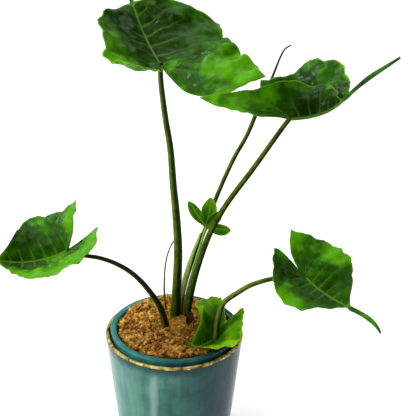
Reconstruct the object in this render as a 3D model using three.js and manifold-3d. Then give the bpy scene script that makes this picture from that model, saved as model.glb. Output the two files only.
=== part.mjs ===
// A long-tailed alocasia growing in a glazed inner pot, which stands inside a round outer pot.
// Millimetres, +Z up, origin at the centre of the outer pot's flat underside. One tall leaf leans
// to the left (-X) and one to the right (+X), with a low leaf on each side under them.
import * as THREE from 'three';
import { mergeVertices } from 'three/addons/utils/BufferGeometryUtils.js';
import Module from 'manifold-3d';

const wasm = await Module();
wasm.setup();

// Clear space left where two pieces touch.
const gap = 0.3;

// Outer pot: a wall that widens to its rim, on a flat foot with a rounded edge.
const potHeight = 145;
const rimRadius = 75;
const footRadius = 50;
const wallTaper = 13.5;
const footRise = 16;
const potWall = 4.5;
const potFloor = 7;

// Inner pot: follows the outer one inside and stands a little proud of it.
const potClearance = 1.5;
const collarHeight = 5.5;
const innerWall = 6.5;
const innerFloor = 6;
const drainRadius = 8;

// The plant, the soil and the mound of moss are measured from a level a little under the rim.
const plantDrop = 5;
const plantLevel = potHeight - plantDrop;
const soilDrop = 8;
const mossEdge = 4;
const mossCrown = 10;
const mossGap = 2;

// Crowns: the rounded tops of the stems under the moss. The offset plant stands a fixed way in from
// the edge of the moss, in the direction of its bearing.
const crown = { x: 7, y: 3, top: 19, wide: 17, deep: 23, tall: 22 };
const offset = { inset: 5.5, bearing: -34, top: 11, wide: 6, deep: 6, tall: 14 };

// Room past the end of a petiole, so that its blade is notched right through.
const endRoom = 3;

// Blades and sheaths are thin plates.
const bladeThickness = 1.2;
const sheathThickness = 0.8;

const stemSides = 8;
const potSides = 48;

// Petioles. A route is a hand-placed run of points above the plant's level, from the pot's axis, or
// from the offset's crown for those of the offset. The thickness goes from foot to top.
const petioles = {
  tall_left: {
    route: [[0, 19, -3], [1, 18, 8], [3, 14, 53], [4, 8, 102], [2, 3, 142], [-1, -3, 180],
      [-4, -10, 224], [-9, -17, 261], [-13, -25, 302], [-13, -28, 317]],
    foot: 13, top: 5,
  },
  tall_right: {
    route: [[13, 17, -3], [14, 17, 8], [17, 17, 33], [25, 17, 73], [38, 17, 115], [54, 18, 147],
      [82, 18, 190], [109, 18, 233], [117, 18, 245]],
    foot: 8.5, top: 5,
  },
  low_left: {
    route: [[-7, 6, -3], [-9, 4, 8], [-15, 0, 33], [-22, -4, 49], [-33, -10, 69], [-46, -17, 87],
      [-62, -25, 102], [-78, -32, 112], [-93, -38, 118], [-107, -45, 128]],
    foot: 8, top: 4,
  },
  low_right: {
    root: 'offset',
    route: [[-1, 0, -3], [-1, 0, 8], [0, 2, 31], [4, 5, 49], [8, 6, 56], [19, 9, 63], [33, 12, 71],
      [47, 15, 75], [61, 18, 77], [78, 21, 77], [93, 24, 75]],
    foot: 7.5, top: 4.5,
  },
  new_leaf: {
    route: [[6, 27, -3], [7, 28, 8], [9, 30, 30], [18, 36, 66], [33, 45, 104], [45, 54, 138],
      [64, 66, 180], [78, 74, 204], [91, 83, 234]],
    foot: 5.5, top: 4.6,
  },
  young_leaf: {
    route: [[11, 22, -3], [11, 23, 8], [13, 24, 33], [22, 25, 73], [34, 26, 117]],
    foot: 3, top: 2.4,
  },
  offset_leaf: {
    root: 'offset',
    route: [[-6, -7, 4], [-7, -3, 9], [-6, 1, 11]],
    foot: 3, top: 2,
  },
};
// The new leaf is still rolled into a spear, which goes on from the end of its petiole.
const rolledLeaf = {
  route: [[98, 88, 249], [105, 93, 264], [113, 99, 284], [118, 102, 292], [124, 104, 295]],
  foot: 4.4, top: 1.6,
};
const thinShoot = {
  route: [[-9, 33, -3], [-9, 33, 6], [-11, 33, 30], [-11, 31, 48], [-10, 28, 68], [-7, 26, 86],
    [-3, 25, 97], [0, 24, 103]],
  foot: 2.6, top: 1.6,
};

// Heart-shaped blades with two basal lobes and a tail at the tip. Each hangs from the end of its
// petiole. Lengths are in mm and angles in degrees: heading 0 is +X and 90 is +Y. length runs from
// the petiole to the root of the tail; widest is where the blade is broadest, as a share of it.
// Each half has its width, its lobe's length and spread, how full the lobe's inner edge is, how
// blunt the half is by the tail, the fold up from the midrib of the body and of the lobe, the curl
// of the half, never 0, and how far the lobe rises and turns. The tail is tailHalf wide to each
// side of the midrib at its root, and tailBulge wide further on.
const blades = {
  tall_left: {
    heading: 112, pitch: 14, roll: 25, length: 90, widest: 0.11, droop: -22, sway: 12, twist: 10,
    tail: 42, tailHalf: 2, tailBulge: 1.8, tailDroop: -60, tailCurl: 0, tailSway: 57, ruffle: 3.4,
    left: {
      width: 65, lobe: 64, spread: 38, full: 8, blunt: 0.3, fold: 58, lobeFold: 38,
      curl: 4, lobeRise: -67, lobeTurn: -1, phase: -0.4,
    },
    right: {
      width: 68, lobe: 107, spread: 60, full: 30, blunt: 0.4, fold: 2, lobeFold: 17,
      curl: -34, lobeRise: 4, lobeTurn: -21, phase: 2.4,
    },
  },
  tall_right: {
    heading: -32, pitch: 12, roll: -6, length: 82, widest: 0.1, droop: -39, sway: 30, twist: 5,
    tail: 77, tailHalf: 2.2, tailBulge: 3.4, tailDroop: 14, tailCurl: 0, tailSway: -61, ruffle: 0.6,
    left: {
      width: 74, lobe: 56, spread: 38, full: 9, blunt: 0, fold: 29, lobeFold: 17,
      curl: 14, lobeRise: -34, lobeTurn: 0, phase: 3.2,
    },
    right: {
      width: 39, lobe: 85, spread: 48, full: 7, blunt: 0, fold: 114, lobeFold: 46,
      curl: 56, lobeRise: 19, lobeTurn: 0, phase: 4.2,
    },
  },
  low_left: {
    heading: 201, pitch: -22, roll: 7, length: 74, widest: 0.1, droop: -38, sway: 20, twist: 7,
    tail: 40, tailHalf: 2, tailBulge: 2, tailDroop: 48, tailCurl: 0, tailSway: -17, ruffle: 0.8,
    left: {
      width: 63, lobe: 40, spread: 10, full: 24, blunt: 0, fold: 18, lobeFold: 16,
      curl: 14, lobeRise: -28, lobeTurn: 0, phase: -0.8,
    },
    right: {
      width: 63, lobe: 43, spread: 42, full: 0, blunt: 0, fold: 37, lobeFold: 27,
      curl: -55, lobeRise: -50, lobeTurn: 0, phase: -1.6,
    },
  },
  low_right: {
    heading: -45, pitch: -26, roll: -5, length: 60, widest: 0.2, droop: -28, sway: -3, twist: 17,
    tail: 46, tailHalf: 3.2, tailBulge: 2.6, tailDroop: 24, tailCurl: 50, tailSway: -4, ruffle: 1.2,
    left: {
      width: 53, lobe: 53, spread: 23, full: 6, blunt: 0, fold: 30, lobeFold: 19,
      curl: -10, lobeRise: -15, lobeTurn: 0, phase: 0.8,
    },
    right: {
      width: 43, lobe: 45, spread: 9, full: 8, blunt: 0, fold: -1, lobeFold: 11,
      curl: -15, lobeRise: -19, lobeTurn: 0, phase: 1.2,
    },
  },
  offset_leaf: {
    heading: 235, pitch: -7, roll: -8, length: 29, widest: 0.1, droop: -38, sway: 28, twist: -1,
    tail: 7, tailHalf: 1, tailBulge: 1, tailDroop: -15, tailCurl: 0, tailSway: 30, ruffle: 2,
    left: {
      width: 42, lobe: 46, spread: 26, full: 11, blunt: 0, fold: 20, lobeFold: 32,
      curl: -13, lobeRise: -34, lobeTurn: 0, phase: -1.4,
    },
    right: {
      width: 44, lobe: 49, spread: 28, full: 12, blunt: 0, fold: 68, lobeFold: 43,
      curl: 42, lobeRise: 3, lobeTurn: 0, phase: -0.1,
    },
  },
};
const waves = 3;

// The young leaf's four lobes, spread from the end of its stalk: where each tip lies from there.
const youngLobes = [
  { tip: [-19, -6, 34], width: 9 },
  { tip: [6, 4, 34], width: 13 },
  { tip: [15, -4, 20], width: 9 },
  { tip: [26, -6, 0], width: 11 },
];

// The sheath that the new leaf grew out of hugs its petiole, and a dry scale stands by the crown.
const sheath = { from: 0.06, to: 0.42, wrap: 150, facing: 205 };
const dryScale = { foot: [15, -9, 16], tip: [18, -10, 34], width: 8 };

const colours = {
  leaf: 0x2a5a10, youngLeaf: 0x6fa01a, petiole: 0x4c6a12, sheath: 0x7d9440, dry: 0x3a2412,
  crown: 0x7a5a34, moss: 0xb8862f, soil: 0x2c1c10, glaze: 0x4e7a72, collar: 0x3e8a88,
};

const radians = THREE.MathUtils.degToRad;
const { clamp, lerp, smoothstep } = THREE.MathUtils;

// A closed mesh as a solid that can be cut, and back.
function solidOf(geometry) {
  const bare = geometry.clone();
  bare.deleteAttribute('normal');
  bare.deleteAttribute('uv');
  const merged = mergeVertices(bare, 1e-4);
  return new wasm.Manifold(new wasm.Mesh({
    numProp: 3,
    vertProperties: Float32Array.from(merged.attributes.position.array),
    triVerts: Uint32Array.from(merged.index.array),
  }));
}

// Points closer than this are one point after a cut, and the faces that closes up are dropped.
const samePoint = 0.005;

function geometryOf(solid) {
  const mesh = solid.getMesh();
  const cut = new THREE.BufferGeometry();
  cut.setAttribute('position', new THREE.Float32BufferAttribute(mesh.vertProperties, 3));
  cut.setIndex(Array.from(mesh.triVerts));
  const merged = mergeVertices(cut, samePoint);
  const index = merged.index.array;
  const faces = [];
  for (let i = 0; i < index.length; i += 3) {
    const face = [index[i], index[i + 1], index[i + 2]];
    if (new Set(face).size === 3) faces.push(face);
  }
  merged.setIndex(faces.flat());
  return merged;
}

// What is left of a piece after its neighbours' clearance is cut away; loose slivers are dropped.
function cutBy(geometry, cutters) {
  const rest = cutters.reduce((solid, cutter) => solid.subtract(solidOf(cutter)), solidOf(geometry));
  const pieces = rest.decompose();
  pieces.sort((a, b) => b.volume() - a.volume());
  return geometryOf(pieces[0]);
}

function indexedGeometry(points, faces) {
  const geometry = new THREE.BufferGeometry();
  const numbers = points.flatMap((p) => p.toArray());
  geometry.setAttribute('position', new THREE.Float32BufferAttribute(numbers, 3));
  geometry.setIndex(faces.flat());
  return geometry;
}

const planted = ([x, y, z]) => new THREE.Vector3(x, y, z + plantLevel);

// A round tapering stem along a route, closed by a flat at each end. The room that it needs in the
// pieces round it is more thick, and runs on past its end.
function stem({ route, foot, top }, more = 0) {
  const curve = new THREE.CatmullRomCurve3(route.map(planted));
  const steps = 2 * route.length;
  const { normals, binormals, tangents } = curve.computeFrenetFrames(steps);
  const points = [];
  const faces = [];
  for (let i = 0; i <= steps; i += 1) {
    const u = i / steps;
    const radius = lerp(foot, top, u ** 0.7) / 2 + more;
    const centre = curve.getPointAt(u);
    if (i === steps && more > 0) centre.addScaledVector(tangents[i], endRoom);
    for (let j = 0; j < stemSides; j += 1) {
      const angle = (2 * Math.PI * j) / stemSides;
      points.push(centre.clone()
        .addScaledVector(normals[i], radius * Math.cos(angle))
        .addScaledVector(binormals[i], radius * Math.sin(angle)));
    }
  }
  for (let i = 0; i < steps; i += 1) {
    for (let j = 0; j < stemSides; j += 1) {
      const a = i * stemSides + j;
      const b = i * stemSides + ((j + 1) % stemSides);
      faces.push([a, b, b + stemSides], [a, b + stemSides, a + stemSides]);
    }
  }
  const last = steps * stemSides;
  for (let j = 1; j < stemSides - 1; j += 1) {
    faces.push([0, j + 1, j], [last, last + j, last + j + 1]);
  }
  return indexedGeometry(points, faces);
}

// The point where a piece goes on from the end of a stem, with the touching gap between them.
function pastEnd({ route }) {
  const [before, end] = route.slice(-2).map((point) => new THREE.Vector3(...point));
  return end.clone().addScaledVector(end.clone().sub(before).normalize(), 2 * gap).toArray();
}

// A closed plate: the upper face, the same face sunk by the thickness, and a wall round the border.
// The room that it needs in a neighbour is more thick on both faces.
function plate(points, faces, border, thickness, more = 0) {
  const upper = indexedGeometry(points, faces);
  upper.computeVertexNormals();
  const normals = upper.attributes.normal;
  const count = points.length;
  const raised = (by) => points.map((p, i) => (
    p.clone().addScaledVector(new THREE.Vector3().fromBufferAttribute(normals, i), by)));
  const all = [...faces];
  faces.forEach(([a, b, c]) => all.push([a + count, c + count, b + count]));
  border.forEach((a, i) => {
    const b = border[(i + 1) % border.length];
    all.push([a, a + count, b + count], [a, b + count, b]);
  });
  return indexedGeometry([...raised(more), ...raised(-thickness - more)], all);
}

// A plate over rows of points that all have the same number across, each row joined to the next.
function sheet(rows, thickness) {
  const across = rows[0].length;
  const at = (i, k) => i * across + k;
  const faces = [];
  for (let i = 0; i < rows.length - 1; i += 1) {
    for (let k = 0; k < across - 1; k += 1) {
      faces.push([at(i, k), at(i, k + 1), at(i + 1, k + 1)]);
      faces.push([at(i, k), at(i + 1, k + 1), at(i + 1, k)]);
    }
  }
  const border = [];
  for (let k = 0; k < across; k += 1) border.push(at(0, k));
  for (let i = 1; i < rows.length; i += 1) border.push(at(i, across - 1));
  for (let k = across - 2; k >= 0; k -= 1) border.push(at(rows.length - 1, k));
  for (let i = rows.length - 2; i > 0; i -= 1) border.push(at(i, 0));
  return plate(rows.flat(), faces, border, thickness);
}

// The midrib of a blade: place(b) is the point b mm along it and frame(b) its directions there, in
// the blade's own frame, x across, y along and z up. Behind the petiole it runs down a basal lobe.
function midrib(leaf, half) {
  const angles = (b) => {
    const back = clamp(-b / half.lobe, 0, 1.3);
    const body = clamp(b / leaf.length, 0, 1);
    const tip = clamp((b - leaf.length) / leaf.tail, 0, 1);
    return {
      rise: radians(half.lobeRise * back - leaf.droop * body - leaf.tailDroop * tip
        - leaf.tailCurl * tip ** 3),
      turn: radians(half.lobeTurn * back + leaf.sway * body + leaf.tailSway * tip),
      twist: radians(leaf.twist * body),
    };
  };
  const along = ({ rise, turn }) => new THREE.Vector3(
    Math.sin(turn) * Math.cos(rise), Math.cos(turn) * Math.cos(rise), Math.sin(rise));
  const place = (b) => {
    const point = new THREE.Vector3();
    const steps = 24;
    for (let i = 0; i < steps; i += 1) {
      point.addScaledVector(along(angles((b * (i + 0.5)) / steps)), b / steps);
    }
    return point;
  };
  const frame = (b) => {
    const here = angles(b);
    const level = new THREE.Vector3(Math.cos(here.turn), -Math.sin(here.turn), 0);
    const up = new THREE.Vector3().crossVectors(level, along(here));
    const [c, s] = [Math.cos(here.twist), Math.sin(here.twist)];
    return {
      across: level.clone().multiplyScalar(c).addScaledVector(up, s),
      up: up.clone().multiplyScalar(c).addScaledVector(level, -s),
    };
  };
  return { place, frame };
}

// How far the half is folded up from the midrib: the lobe's fold turns into the body's.
function foldAt(leaf, half, b) {
  const share = b / leaf.length;
  const fade = 1 - 0.6 * smoothstep(share, 0.8, 1.05);
  return radians(lerp(half.lobeFold, half.fold, smoothstep(share, -0.35, 0.25)) * fade);
}

// The point of a blade that lies a mm across and b mm along when the blade is pressed flat.
function bladePoint(leaf, side, a, b) {
  const half = leaf[side];
  const outward = side === 'left' ? -1 : 1;
  const { place, frame } = midrib(leaf, half);
  const { across, up } = frame(b);
  const fold = foldAt(leaf, half, b);
  const curl = radians(half.curl) / half.width;
  const angle = fold + curl * a;
  const wave = leaf.ruffle * (a / half.width) ** 2
    * Math.sin((2 * Math.PI * waves * b) / leaf.length + half.phase) * Math.cos(angle);
  const reach = (Math.sin(angle) - Math.sin(fold)) / curl;
  const height = (Math.cos(fold) - Math.cos(angle)) / curl + wave;
  return place(b).addScaledVector(across, outward * reach).addScaledVector(up, height);
}

// The flat outline of one half, from the petiole round the basal lobe to the root of the tail and
// down the tail, with the place on the midrib that each edge point is joined to.
function halfOutline(leaf, side) {
  const { length, tail, tailHalf, tailBulge, widest } = leaf;
  const { width, lobe, spread, full, blunt } = leaf[side];
  const at = (a, b) => new THREE.Vector2(a, b);
  const inward = at(-lobe, -spread).normalize();
  const onLobe = (share, bulge) => {
    const p = at(spread, -lobe).multiplyScalar(share).addScaledVector(inward, full * bulge);
    p.x = Math.max(p.x, 0.5 * share);
    return p;
  };
  const lobeTip = at(spread, -lobe);
  const inner = [
    at(0, 0), onLobe(0.12, 0.55), onLobe(0.36, 0.95), onLobe(0.62, 0.95), onLobe(0.86, 0.5), lobeTip,
  ];
  const outer = [
    lobeTip,
    at(spread + 0.4 * (width - spread), -0.72 * lobe),
    at(spread + 0.86 * (width - spread), -0.28 * lobe),
    at(width, widest * length),
    at((0.9 + 0.08 * blunt) * width, (0.42 + 0.06 * blunt) * length),
    at((0.58 + 0.3 * blunt) * width, (0.7 + 0.1 * blunt) * length),
    at((0.22 + 0.36 * blunt) * width, (0.89 + 0.09 * blunt) * length),
    at(tailHalf, length),
  ];
  const tailEdge = [
    at(tailHalf, length), at(0.8 * tailHalf, length + 0.3 * tail), at(tailBulge, length + 0.62 * tail),
    at(0, length + tail),
  ];
  const [innerSteps, outerSteps, tailSteps] = [6, 16, 7];
  const edge = [
    ...new THREE.SplineCurve(inner).getSpacedPoints(innerSteps).slice(1),
    ...new THREE.SplineCurve(outer).getSpacedPoints(outerSteps).slice(1),
    ...new THREE.SplineCurve(tailEdge).getSpacedPoints(tailSteps).slice(1, -1),
  ];
  const fan = innerSteps + Math.round(0.3 * outerSteps);
  const body = innerSteps + outerSteps;
  const ribs = edge.map((p, i) => {
    if (i < fan) return 0;
    if (i < body) return (0.96 * length * (i - fan + 1)) / (body - fan);
    return length + (tail * (i - body + 1)) / tailSteps - tail / tailSteps;
  });
  return { edge, ribs };
}

// A blade as one closed plate on the end of its petiole, both halves meeting on the midrib.
function blade(name, more = 0) {
  const leaf = blades[name];
  const joint = planted(stems[name].route.at(-1));
  const across = 4;
  const [heading, pitch, roll] = [leaf.heading, leaf.pitch, leaf.roll].map(radians);
  const forward = new THREE.Vector3(
    Math.cos(pitch) * Math.cos(heading), Math.cos(pitch) * Math.sin(heading), Math.sin(pitch));
  const level = new THREE.Vector3(Math.sin(heading), -Math.cos(heading), 0);
  const lift = new THREE.Vector3().crossVectors(level, forward);
  const right = level.multiplyScalar(Math.cos(roll)).addScaledVector(lift, Math.sin(roll));
  const up = new THREE.Vector3().crossVectors(right, forward);
  const toWorld = new THREE.Matrix4().makeBasis(right, forward, up).setPosition(joint);
  const points = [];
  const add = (side, a, b) => points.push(bladePoint(leaf, side, a, b).applyMatrix4(toWorld)) - 1;
  const root = add('right', 0, 0);
  const spine = halfOutline(leaf, 'right').ribs.map((b) => (b > 0 ? add('right', 0, b) : root));
  const tip = add('right', 0, leaf.length + leaf.tail);
  const faces = [];
  const edges = {};
  ['right', 'left'].forEach((side) => {
    const { edge, ribs } = halfOutline(leaf, side);
    const rows = edge.map((p, i) => {
      const row = [spine[i]];
      for (let k = 1; k <= across; k += 1) {
        const share = k / across;
        row.push(add(side, p.x * share, lerp(ribs[i], p.y, share)));
      }
      return row;
    });
    rows.push(new Array(across + 1).fill(tip));
    for (let i = 0; i < rows.length - 1; i += 1) {
      for (let k = 0; k < across; k += 1) {
        const [a, b, c, d] = [rows[i][k], rows[i][k + 1], rows[i + 1][k + 1], rows[i + 1][k]];
        [[a, b, c], [a, c, d]].forEach((face) => {
          if (new Set(face).size === 3) faces.push(side === 'right' ? face : [face[0], face[2], face[1]]);
        });
      }
    }
    edges[side] = [...rows[0].slice(1, across), ...rows.slice(0, -1).map((row) => row[across])];
  });
  const border = [root, ...edges.right, tip, ...edges.left.reverse()];
  return plate(points, faces, border, bladeThickness, more);
}

// A small pointed scale or lobe: a cupped plate from foot to tip, widest past its middle.
function scale(foot, tip, width, thickness) {
  const axis = tip.clone().sub(foot);
  const side = new THREE.Vector3(axis.z, 0, -axis.x).normalize();
  const cup = new THREE.Vector3().crossVectors(side, axis).normalize();
  const rows = 8;
  return sheet(Array.from({ length: rows + 1 }, (_, i) => {
    const share = i / rows;
    const half = (width / 2) * (0.14 + 0.86 * Math.sin(Math.PI * share ** 1.4) ** 0.8);
    return [-1, -0.5, 0, 0.5, 1].map((k) => foot.clone()
      .addScaledVector(axis, share)
      .addScaledVector(side, k * half)
      .addScaledVector(cup, 0.3 * half * k * k));
  }), thickness);
}

// Half-profiles of the pots, from the axis outwards and back.
const wallFoot = rimRadius - wallTaper;
const wallRadius = (z) => wallFoot + (wallTaper * (z - footRise)) / (potHeight - footRise);
const outerInside = (z) => wallRadius(z) - potWall;
const innerOutside = (z) => outerInside(z) - potClearance;
const innerInside = (z) => innerOutside(z) - innerWall;
const mossRadius = innerInside(potHeight) - mossGap;
const lathe = (profile) => new THREE.LatheGeometry(profile.getPoints(5), potSides).rotateX(Math.PI / 2);

// Each petiole's route from where it is rooted.
const offsetAt = new THREE.Vector2(mossRadius - offset.inset, 0)
  .rotateAround(new THREE.Vector2(), radians(offset.bearing));
const offsetCrown = { ...offset, x: offsetAt.x, y: offsetAt.y };
const stems = Object.fromEntries(Object.entries(petioles).map(([name, { root, route, ...sizes }]) => {
  const [fromX, fromY] = root === 'offset' ? [offsetCrown.x, offsetCrown.y] : [0, 0];
  return [name, { ...sizes, route: route.map(([x, y, z]) => [x + fromX, y + fromY, z]) }];
}));

function outerPot() {
  const corner = potFloor + 12;
  return lathe(new THREE.Path()
    .moveTo(0, 0)
    .lineTo(footRadius, 0)
    .quadraticCurveTo(wallFoot - 1.5, 0, wallFoot, footRise)
    .lineTo(rimRadius, potHeight - 2)
    .quadraticCurveTo(rimRadius, potHeight, rimRadius - potWall / 2, potHeight)
    .quadraticCurveTo(outerInside(potHeight), potHeight, outerInside(potHeight), potHeight - 2)
    .lineTo(outerInside(corner), corner)
    .quadraticCurveTo(outerInside(corner) - 1, potFloor, outerInside(corner) - 12, potFloor)
    .lineTo(0, potFloor));
}

const innerBottom = potFloor + gap;
const innerCorner = innerBottom + 14;

function innerPot() {
  const top = potHeight + collarHeight;
  const floor = innerBottom + innerFloor;
  const lip = innerWall / 2;
  return lathe(new THREE.Path()
    .moveTo(drainRadius, innerBottom)
    .lineTo(innerOutside(innerCorner) - 14, innerBottom)
    .quadraticCurveTo(innerOutside(innerCorner) - 2, innerBottom, innerOutside(innerCorner), innerCorner)
    .lineTo(innerOutside(top - lip), top - lip)
    .quadraticCurveTo(innerOutside(top), top, innerOutside(top) - lip, top)
    .quadraticCurveTo(innerInside(top), top, innerInside(top - lip), top - lip)
    .lineTo(innerInside(innerCorner), innerCorner)
    .quadraticCurveTo(innerInside(innerCorner) - 2, floor, innerInside(innerCorner) - 14, floor)
    .lineTo(drainRadius, floor)
    .lineTo(drainRadius, innerBottom));
}

const soilTop = plantLevel - soilDrop;

function soil() {
  const floor = innerBottom + innerFloor + gap;
  const corner = innerCorner + gap;
  const side = (z) => innerInside(z) - gap;
  return lathe(new THREE.Path()
    .moveTo(0, floor)
    .lineTo(side(corner) - 14, floor)
    .quadraticCurveTo(side(corner) - 2, floor, side(corner), corner)
    .lineTo(side(soilTop), soilTop)
    .lineTo(0, soilTop));
}

function moss() {
  const radius = mossRadius;
  const edge = plantLevel + mossEdge;
  const top = plantLevel + mossCrown;
  return lathe(new THREE.Path()
    .moveTo(0, soilTop + gap)
    .lineTo(radius - 1, soilTop + gap)
    .lineTo(radius, edge)
    .quadraticCurveTo(radius - 3, edge + 3, 0.7 * radius, lerp(edge, top, 0.72))
    .quadraticCurveTo(0.4 * radius, top, 0, top));
}

// A crown: a rounded knob, with its middle in the soil.
function knob({ x, y, top, wide, deep, tall }, more = 0) {
  return new THREE.SphereGeometry(1, 20, 12)
    .scale(wide + more, deep + more, tall + more)
    .translate(x, y, plantLevel + top - tall);
}

// The shell that the new leaf's petiole came out of, open on one side and pointed at its top.
function newLeafSheath() {
  const { route, foot, top } = stems.new_leaf;
  const curve = new THREE.CatmullRomCurve3(route.map(planted));
  const [rows, columns] = [12, 6];
  return sheet(Array.from({ length: rows + 1 }, (_, i) => {
    const u = lerp(sheath.from, sheath.to, i / rows);
    const tangent = curve.getTangentAt(u);
    const facing = new THREE.Vector3(Math.cos(radians(sheath.facing)), Math.sin(radians(sheath.facing)), 0);
    facing.addScaledVector(tangent, -facing.dot(tangent)).normalize();
    const side = new THREE.Vector3().crossVectors(tangent, facing);
    const radius = lerp(foot, top, u ** 0.7) / 2 + 2 * gap + sheathThickness;
    const wrap = radians(sheath.wrap) * (1 - 0.85 * (i / rows) ** 3);
    return Array.from({ length: columns + 1 }, (__, k) => {
      const angle = wrap * (k / columns - 0.5);
      return curve.getPointAt(u)
        .addScaledVector(facing, radius * Math.cos(angle))
        .addScaledVector(side, radius * Math.sin(angle));
    });
  }), sheathThickness);
}

// The young leaf: four small lobes grown together on the end of its stalk.
function youngLeaf() {
  const foot = planted(stems.young_leaf.route.at(-1));
  const lobes = youngLobes.map(({ tip, width }) => (
    solidOf(scale(foot, new THREE.Vector3(...tip).add(foot), width, bladeThickness))));
  const knot = solidOf(new THREE.SphereGeometry(2.4, 10, 8).translate(foot.x, foot.y, foot.z + 1.5));
  return geometryOf(lobes.reduce((solid, lobe) => solid.add(lobe), knot));
}

const plant = new THREE.Group();

function piece(name, geometry, color, roughness) {
  const mesh = new THREE.Mesh(geometry, new THREE.MeshStandardMaterial({ color, roughness, metalness: 0 }));
  mesh.name = name;
  plant.add(mesh);
}

const clearances = [...Object.values(stems), thinShoot].map((one) => stem(one, gap));
const crowns = [knob(crown, gap), knob(offsetCrown, gap)];

piece('outer_pot', outerPot(), colours.glaze, 0.25);
piece('inner_pot', innerPot(), colours.collar, 0.2);
piece('potting_soil', cutBy(soil(), crowns), colours.soil, 0.95);
piece('moss_mulch', cutBy(moss(), [...crowns, ...clearances]), colours.moss, 0.95);
piece('main_crown', cutBy(knob(crown), clearances), colours.crown, 0.85);
piece('offset_crown', cutBy(knob(offsetCrown), clearances), colours.crown, 0.85);
Object.entries(stems).forEach(([name, one]) => {
  piece(`petiole_${name}`, stem(one), colours.petiole, 0.5);
});
// The offset's own leaf wraps round the foot of the low right petiole, so that one notches it too.
Object.keys(blades).forEach((name) => {
  const beside = name === 'offset_leaf' ? [name, 'low_right'] : [name];
  piece(`blade_${name}`, cutBy(blade(name), beside.map((one) => stem(stems[one], gap))), colours.leaf, 0.4);
});
piece('blade_young_leaf', cutBy(youngLeaf(), [stem(stems.young_leaf, gap)]), colours.youngLeaf, 0.5);
const spear = { ...rolledLeaf, route: [pastEnd(stems.new_leaf), ...rolledLeaf.route] };
piece('rolled_new_leaf', stem(spear), colours.petiole, 0.5);
piece('new_leaf_sheath', cutBy(newLeafSheath(), [knob(crown, gap)]), colours.sheath, 0.6);
piece('thin_shoot', stem(thinShoot), colours.youngLeaf, 0.5);
piece('dry_scale', cutBy(
  scale(planted(dryScale.foot), planted(dryScale.tip), dryScale.width, sheathThickness),
  [knob(crown, gap), blade('offset_leaf', gap)],
), colours.dry, 0.9);

export default plant;
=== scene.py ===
import math
import random

import bpy
import numpy as np
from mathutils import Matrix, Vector, noise


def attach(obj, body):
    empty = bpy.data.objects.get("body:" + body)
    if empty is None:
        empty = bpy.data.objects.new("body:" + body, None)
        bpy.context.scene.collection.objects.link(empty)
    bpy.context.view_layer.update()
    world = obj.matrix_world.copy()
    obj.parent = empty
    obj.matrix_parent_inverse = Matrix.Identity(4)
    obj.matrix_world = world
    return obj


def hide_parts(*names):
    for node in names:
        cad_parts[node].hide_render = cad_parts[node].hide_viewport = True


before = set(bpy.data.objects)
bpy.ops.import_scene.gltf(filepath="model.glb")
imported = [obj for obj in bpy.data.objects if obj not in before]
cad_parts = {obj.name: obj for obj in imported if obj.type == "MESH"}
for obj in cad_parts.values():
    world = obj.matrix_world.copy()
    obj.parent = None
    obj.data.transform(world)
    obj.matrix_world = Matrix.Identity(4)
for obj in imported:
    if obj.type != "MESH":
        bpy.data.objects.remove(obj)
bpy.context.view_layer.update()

mm = 0.001


def deselectAll():
    for one in list(bpy.context.selected_objects):
        one.select_set(False)


def pickOnly(piece):
    deselectAll()
    piece.select_set(True)
    bpy.context.view_layer.objects.active = piece


def linearColor(hexCode):
    # sRGB hex to the linear values that shaders work in
    parts = [int(hexCode[i:i + 2], 16) / 255 for i in (1, 3, 5)]
    return tuple(c / 12.92 if c <= 0.04045 else ((c + 0.055) / 1.055) ** 2.4 for c in parts) + (1.0,)


def addNode(tree, kind, inputs=None, stops=None, **settings):
    # adds one node, sets it up and links it; stops are the colours or grey values of a ramp
    node = tree.nodes.new(kind)
    for key, value in settings.items():
        setattr(node, key, value)
    for place, color in stops or []:
        elements = node.color_ramp.elements
        index = stops.index((place, color))
        element = elements[index] if index < 2 else elements.new(place)
        element.position = place
        element.color = linearColor(color) if isinstance(color, str) else (color, color, color, 1)
    for key, value in (inputs or {}).items():
        if isinstance(value, bpy.types.NodeSocket):
            tree.links.new(value, node.inputs[key])
        else:
            node.inputs[key].default_value = value
    return node


def startMaterial(name):
    material = bpy.data.materials.new(name)
    material.use_nodes = True
    material.node_tree.nodes.clear()
    return material, material.node_tree


def finishPiece(piece, name, nodes, slot, *materials):
    # names the piece, gives it its finish, hides the CAD nodes it stands in for and hangs it from the root
    # body
    piece.name = name
    piece.data.name = name
    piece.data.materials.clear()
    for material in materials:
        piece.data.materials.append(material)
    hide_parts(*nodes)
    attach(piece, "root")
    return piece


# Light is soft daylight from the upper left, on a plain pale floor.

view = {"place": (0, -1.014, 0.781), "pitch": 25.7, "lens": 94.15, "shift": 0.081}
studio = {"glow": 0.27, "floorPaint": "#FCFCFC", "floorSize": 12, "floorLevel": -0.0002}

bpy.ops.object.camera_add(location=view["place"], rotation=(math.radians(90 - view["pitch"]), 0, 0))
camera = bpy.context.active_object
camera.name = "camera"
camera.data.lens = view["lens"]
camera.data.shift_x = view["shift"]
bpy.context.scene.camera = camera
bpy.context.scene.view_settings.view_transform = "Standard"

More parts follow.
